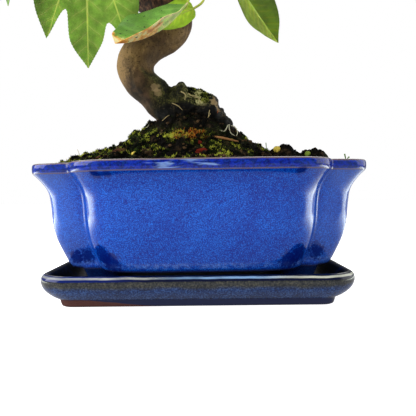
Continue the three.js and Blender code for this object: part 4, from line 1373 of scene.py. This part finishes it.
# Tufts: a handful of spikes round each middle that lean outwards. Their colour runs from dark to bright by
# noise over the ground, and to orange in one patch.
def tufts(middles, normals, random, size=1.0):
    each = moss["spikesEach"]
    feet = np.repeat(middles, each, 0)
    normal = np.repeat(normals, each, 0)
    offset = random.normal(size=feet.shape) * moss["spread"] * 0.5
    offset -= normal * np.sum(offset * normal, 1, keepdims=True)
    ways = unit(normal + offset * 0.45 + up * 0.25 + random.normal(size=feet.shape) * 0.25)
    low, high = moss["length"]
    lengths = random.uniform(low, high, len(feet)) * size
    widths = moss["width"] * random.uniform(0.7, 1.3, len(feet))
    patch = 0.7 * layered(middles, 4, 2, 41) + 0.7 * layered(middles, 15, 2, 47)
    patch = patch - moss["shade"] * bell((middles[:, 0], moss["shadeAt"], moss["shadeWide"]))
    patch = np.repeat(patch + random.normal(size=len(middles)) * 0.4, each)
    level = np.clip(1.5 * patch - 0.06, 0, 1)[:, None]
    dark, green, bright, orange = (np.array(moss[k]) for k in ("dark", "green", "bright", "orange"))
    lower, upper = dark + (green - dark) * level * 2, green + (bright - green) * (level * 2 - 1)
    color = np.where(level < 0.5, lower, upper)
    near = glowing(feet[:, 0], feet[:, 1])[:, None]
    glow = rise(near * random.uniform(0.1, 1.4, (len(feet), 1)), 0.3, 0.7)
    amber = orange + (bright - orange) * random.uniform(0, 1, (len(feet), 1)) ** 3
    color = color * (1 - glow) + amber * glow
    return spikes(feet + offset, ways, lengths, widths, random.uniform(0, 2, len(feet)), color)


# The way square to the soil, from the slope between its heights 1 mm to each side.
def soilNormal(x, y):
    dx = (soilHeight(x + 1, y) - soilHeight(x - 1, y)) / 2
    dy = (soilHeight(x, y + 1) - soilHeight(x, y - 1)) / 2
    return unit(np.stack([-dx, -dy, np.ones_like(x)], 1))


# Random places on the soil, inside a share of its outline: of places in a rectangle, those stay whose
# distance from the middle is less than the outline's in their direction.
def places(random, count, share=0.97):
    inX, inY, _ = soilWall[-1]
    edge = quatrefoil(360) * [1 - inX / pot["halfWidth"], 1 - inY / pot["halfDepth"]] * share
    angles = np.arctan2(edge[:, 1], edge[:, 0])
    order = np.argsort(angles)
    spots = random.uniform(-1, 1, (count * 2, 2)) * [pot["halfWidth"], pot["halfDepth"]]
    reach = np.linalg.norm(edge, axis=1)
    limit = np.interp(np.arctan2(spots[:, 1], spots[:, 0]), angles[order], reach[order])
    spots = spots[np.linalg.norm(spots, axis=1) < limit][:count]
    return spots[:, 0], spots[:, 1]


# How thick the moss lies: patches of noise, more to the left, in front and on the orange patch, less at the
# right, and little on the steep of the large mound, on the right mounds and at the left wall.
def mossCover(x, y):
    flat = np.stack([x, y, np.zeros_like(x)], 1)
    cover = 1.3 * layered(flat, 6, 2, 51) + 0.4 * rise(-x, 0, 50) - 0.08
    cover = cover - 1.1 * rise(soilHeight(x, y), 106, 111)
    cover = cover + 0.35 * bell((x, -6, 30), (y, -36, 16)) - 0.4 * rise(x, 22, 45)
    return cover + 1.2 * glowing(x, y) - 1.2 * rise(x, 44, 52) * rise(-y, -6, 0) - 1.5 * rise(-x, 91, 96)


# Tufts stand at random places where the cover is thick enough, and on mossy wood above the soil.
def makeMoss(material):
    random = np.random.default_rng(moss["seed"])
    x, y = places(random, moss["tufts"] * 5)
    keep = np.flatnonzero(mossCover(x, y) > random.uniform(0, 0.2, len(x)))[:moss["tufts"]]
    x, y = x[keep], y[keep]
    middles = np.stack([x, y, soilHeight(x, y)], 1)
    addPiece("mossOnSoil", tufts(middles, soilNormal(x, y), random), material, "leaf")
    above = woodPoints[:, 2] > soilHeight(woodPoints[:, 0], woodPoints[:, 1])
    able = np.flatnonzero((woodMoss > 0.4) & above)
    chosen = random.choice(able, min(moss["woodTufts"], len(able)), replace=False)
    part = tufts(woodPoints[chosen], woodNormals[chosen], random, moss["woodSize"])
    addPiece("mossOnRoots", part, material, "leaf")


# The piece's own tint, times a grain of light and dark.
def makeTinted(name, roughness, size, depth):
    material, shader, where = newMaterial(name, Roughness=roughness, Specular_IOR_Level=0.1)
    specks = grained(where, size)["Specks"]
    tint = attribute(material.node_tree, "tint", "Color")
    dress(shader, shaded(tint, between(specks, 0.3, 0.7, 0.7, 1.25)), specks, 0.6, depth)
    return material


def tinted(part, color):
    part["values"] = dict(tint=np.tile(color, (len(part["points"]), 1)))
    return part


# A point on the soil, some way above it.
def onSoil(x, y, above=0.0):
    return np.array([x, y, float(soilHeight(np.array([float(x)]), np.array([float(y)]))[0]) + above])


# Crumbs of soil, feed pellets, a twig, pale root threads, dry leaf bits and thin sprouts. Pellets are given
# by x, y, radius and colour. Sticks run through points that lie some way above the soil, as x, y and that
# height, and threads through points in space on the root shoulder. Dry leaves are given by base, height over
# the soil, heading, the way that they face, length and colour.
pale, barkBrown, rust, yellow = rgb(206, 202, 170), rgb(152, 108, 66), rgb(112, 32, 20), rgb(214, 190, 84)
sprout, dull, straw = rgb(96, 132, 44), rgb(84, 54, 36), rgb(178, 160, 112)
litter = dict(
    crumbs=2600, crumbColors=(rgb(7, 6, 4), rgb(96, 74, 50)), seed=8, bladeGrid=(5, 4),
    bladeForm=dict(kind="oval", fold=0.5, curl=70, phase=1),
    pellets=[
        (53, -11, 2.6, yellow), (73.8, -12, 2.1, rgb(130, 152, 60)), (-40, -42, 2.0, yellow),
        (20, 46, 2.4, yellow), (-66, 18, 2.2, yellow),
    ],
    sticks=[
        ([(6.5, -30.5, 1.2), (15, -31, 2.2), (25.5, -30, 1.4)], [0.5, 0.9, 0.45], barkBrown),
        ([(13.5, -25, 0.3), (17, -22, 1.2), (19.5, -15, 2.6), (21, -8, 2.6)], [0.2, 0.3, 0.28, 0.2], pale),
        ([(21, -8, 2), (20.4, -13, 1.8), (21.2, -18, 1.6), (24, -19, 1)], [0.2, 0.3, 0.26, 0.16], pale),
        ([(22, -8, 2.4), (24.6, -10, 2.6), (26, -14, 1.8), (25, -18, 0.8)], [0.2, 0.28, 0.24, 0.16], pale),
        ([(-36, -12, 0.3), (-35, -13, 1.6), (-34, -12, 2.6)], [0.2, 0.16, 0.1], pale),
        ([(-25, -12, 0.3), (-22, -13, 1.2), (-20, -13.5, 1.8)], [0.24, 0.2, 0.12], straw),
        ([(-20, -9, 0.4), (-16, -10, 2.2), (-10, -9, 2.6)], [0.26, 0.22, 0.14], straw),
        ([(6, -14, 0.3), (7.5, -12, 2.6), (8.5, -8, 5.6)], [0.28, 0.24, 0.14], straw),
        ([(45, -14, 0), (45.4, -14, 3.4), (45.2, -14, 6.6)], [0.3, 0.26, 0.3], sprout),
        ([(94, -30, 0), (95, -30, 4), (94.2, -30, 8.6)], [0.3, 0.3, 0.5], sprout),
        ([(95, -30, 4), (96, -30, 6), (97.2, -30, 7.4)], [0.2, 0.3, 0.5], sprout),
        ([(-88, -18, 0), (-88.4, -18, 2.5), (-89.4, -18, 5.2)], [0.2, 0.18, 0.12], straw),
        ([(-80, -22, 0), (-79.4, -22, 3), (-80.6, -22, 6)], [0.2, 0.18, 0.12], straw),
        ([(34, 20, 0), (35, 21, 3), (34, 23, 6)], [0.3, 0.26, 0.3], sprout),
        ([(-52, 24, 0), (-51, 25, 3), (-53, 26, 5)], [0.3, 0.26, 0.3], sprout),
    ],
    dryLeaves=[
        (-2, -50, 1.2, (1, 0.05, 0.04), (0, -0.6, 0.8), 13, rust),
        (0, -37, 1.4, (0.3, 0.2, 0.5), (0.3, -0.9, 0.3), 4, rust),
        (-66, -37, 0.6, (1, -0.1, 0), (0, -0.3, 1), 21, dull),
        (-56, -30, 1.4, (1, -0.3, -0.02), (0.1, -0.4, 0.9), 16, dull),
        (10, -10, 1.5, (0.3, -0.3, 0.6), (0, -1, 0.3), 6, rgb(150, 74, 40)),
        (36, 34, 1.5, (0.7, 0.7, 0), (0, 0.2, 1), 17, dull),
        (-20, 44, 1.5, (-0.9, 0.2, 0), (0, 0.3, 1), 15, rust),
        (58, 16, 1.2, (0.2, -0.9, 0), (0.2, 0.1, 1), 14, dull),
    ],
    threads=[
        ([(-12, -13, 136), (-9, -14.5, 133.5), (-9.5, -14.5, 130)], [0.4, 0.34, 0.2]),
        ([(-7, -13.5, 134.5), (-4, -14.5, 132.5), (-1, -14, 133.5)], [0.3, 0.3, 0.2]),
        ([(-3, -14, 132), (0, -14.5, 131), (1, -14, 128)], [0.34, 0.3, 0.2]),
        ([(-18, -13.5, 128), (-14, -14.5, 126), (-11, -15, 123)], [0.3, 0.3, 0.16]),
        ([(9, -8, 128), (7.5, -11.5, 124), (6.4, -13.5, 119)], [0.3, 0.3, 0.2]),
    ],
)


# Lumps at random places, few of them at the mossy right front, and most of them dark.
def makeCrumbs(material):
    random = np.random.default_rng(litter["seed"])
    x, y = places(random, litter["crumbs"], 0.985)
    bare = (x < 46) | (y > 6) | (random.uniform(0, 1, len(x)) < 0.15)
    x, y = x[bare], y[bare]
    size = random.uniform(0.35, 1.5, len(x)) * random.uniform(0.6, 1.2, len(x))
    centres = np.stack([x, y, soilHeight(x, y) + size * 0.3], 1)
    shade = random.uniform(0, 1, (len(x), 1)) ** 4
    dark, light = (np.array(color) for color in litter["crumbColors"])
    color = dark * (1 - shade) + light * shade
    addPiece("soilCrumbs", lumps(centres, size, random, color), material, "soil")


# Pellets are lofts of rings with a little noise, sticks and threads are tubes, and dry leaves are blades.
def makeLitter(material):
    bits = []
    for x, y, radius, color in litter["pellets"]:
        angle = np.linspace(-math.pi / 2, math.pi / 2, 12)[1:-1]
        rings = np.stack([
            roundedRing(*[radius * math.cos(a)] * 3, radius * 0.85 * math.sin(a), 5) for a in angle
        ])
        ball = loft(rings + onSoil(x, y, radius * 0.7))
        ball["points"] += 0.25 * layered(ball["points"], 1.5, 2, 61)[:, None]
        bits.append(tinted(ball, color))
    for points, radii, color in litter["sticks"]:
        bits.append(tinted(tube([onSoil(*point) for point in points], radii, 6, 14), color))
    for points, radii in litter["threads"]:
        bits.append(tinted(tube(points, radii, 6, 12), straw))
    for x, y, above, heading, face, length, color in litter["dryLeaves"]:
        leaf = dict(litter["bladeForm"], length=length, heading=heading, face=face, color=color)
        bits.append(tinted(blade(dict(leaf, base=onSoil(x, y, above)), *litter["bladeGrid"]), color))
    addPiece("litterBits", joined(bits), material, "soil")


tintedRough = makeTinted("mossAndCrumb", 0.9, 0.5, 0.3)
makeMoss(tintedRough)
makeCrumbs(tintedRough)
makeLitter(tintedRough)
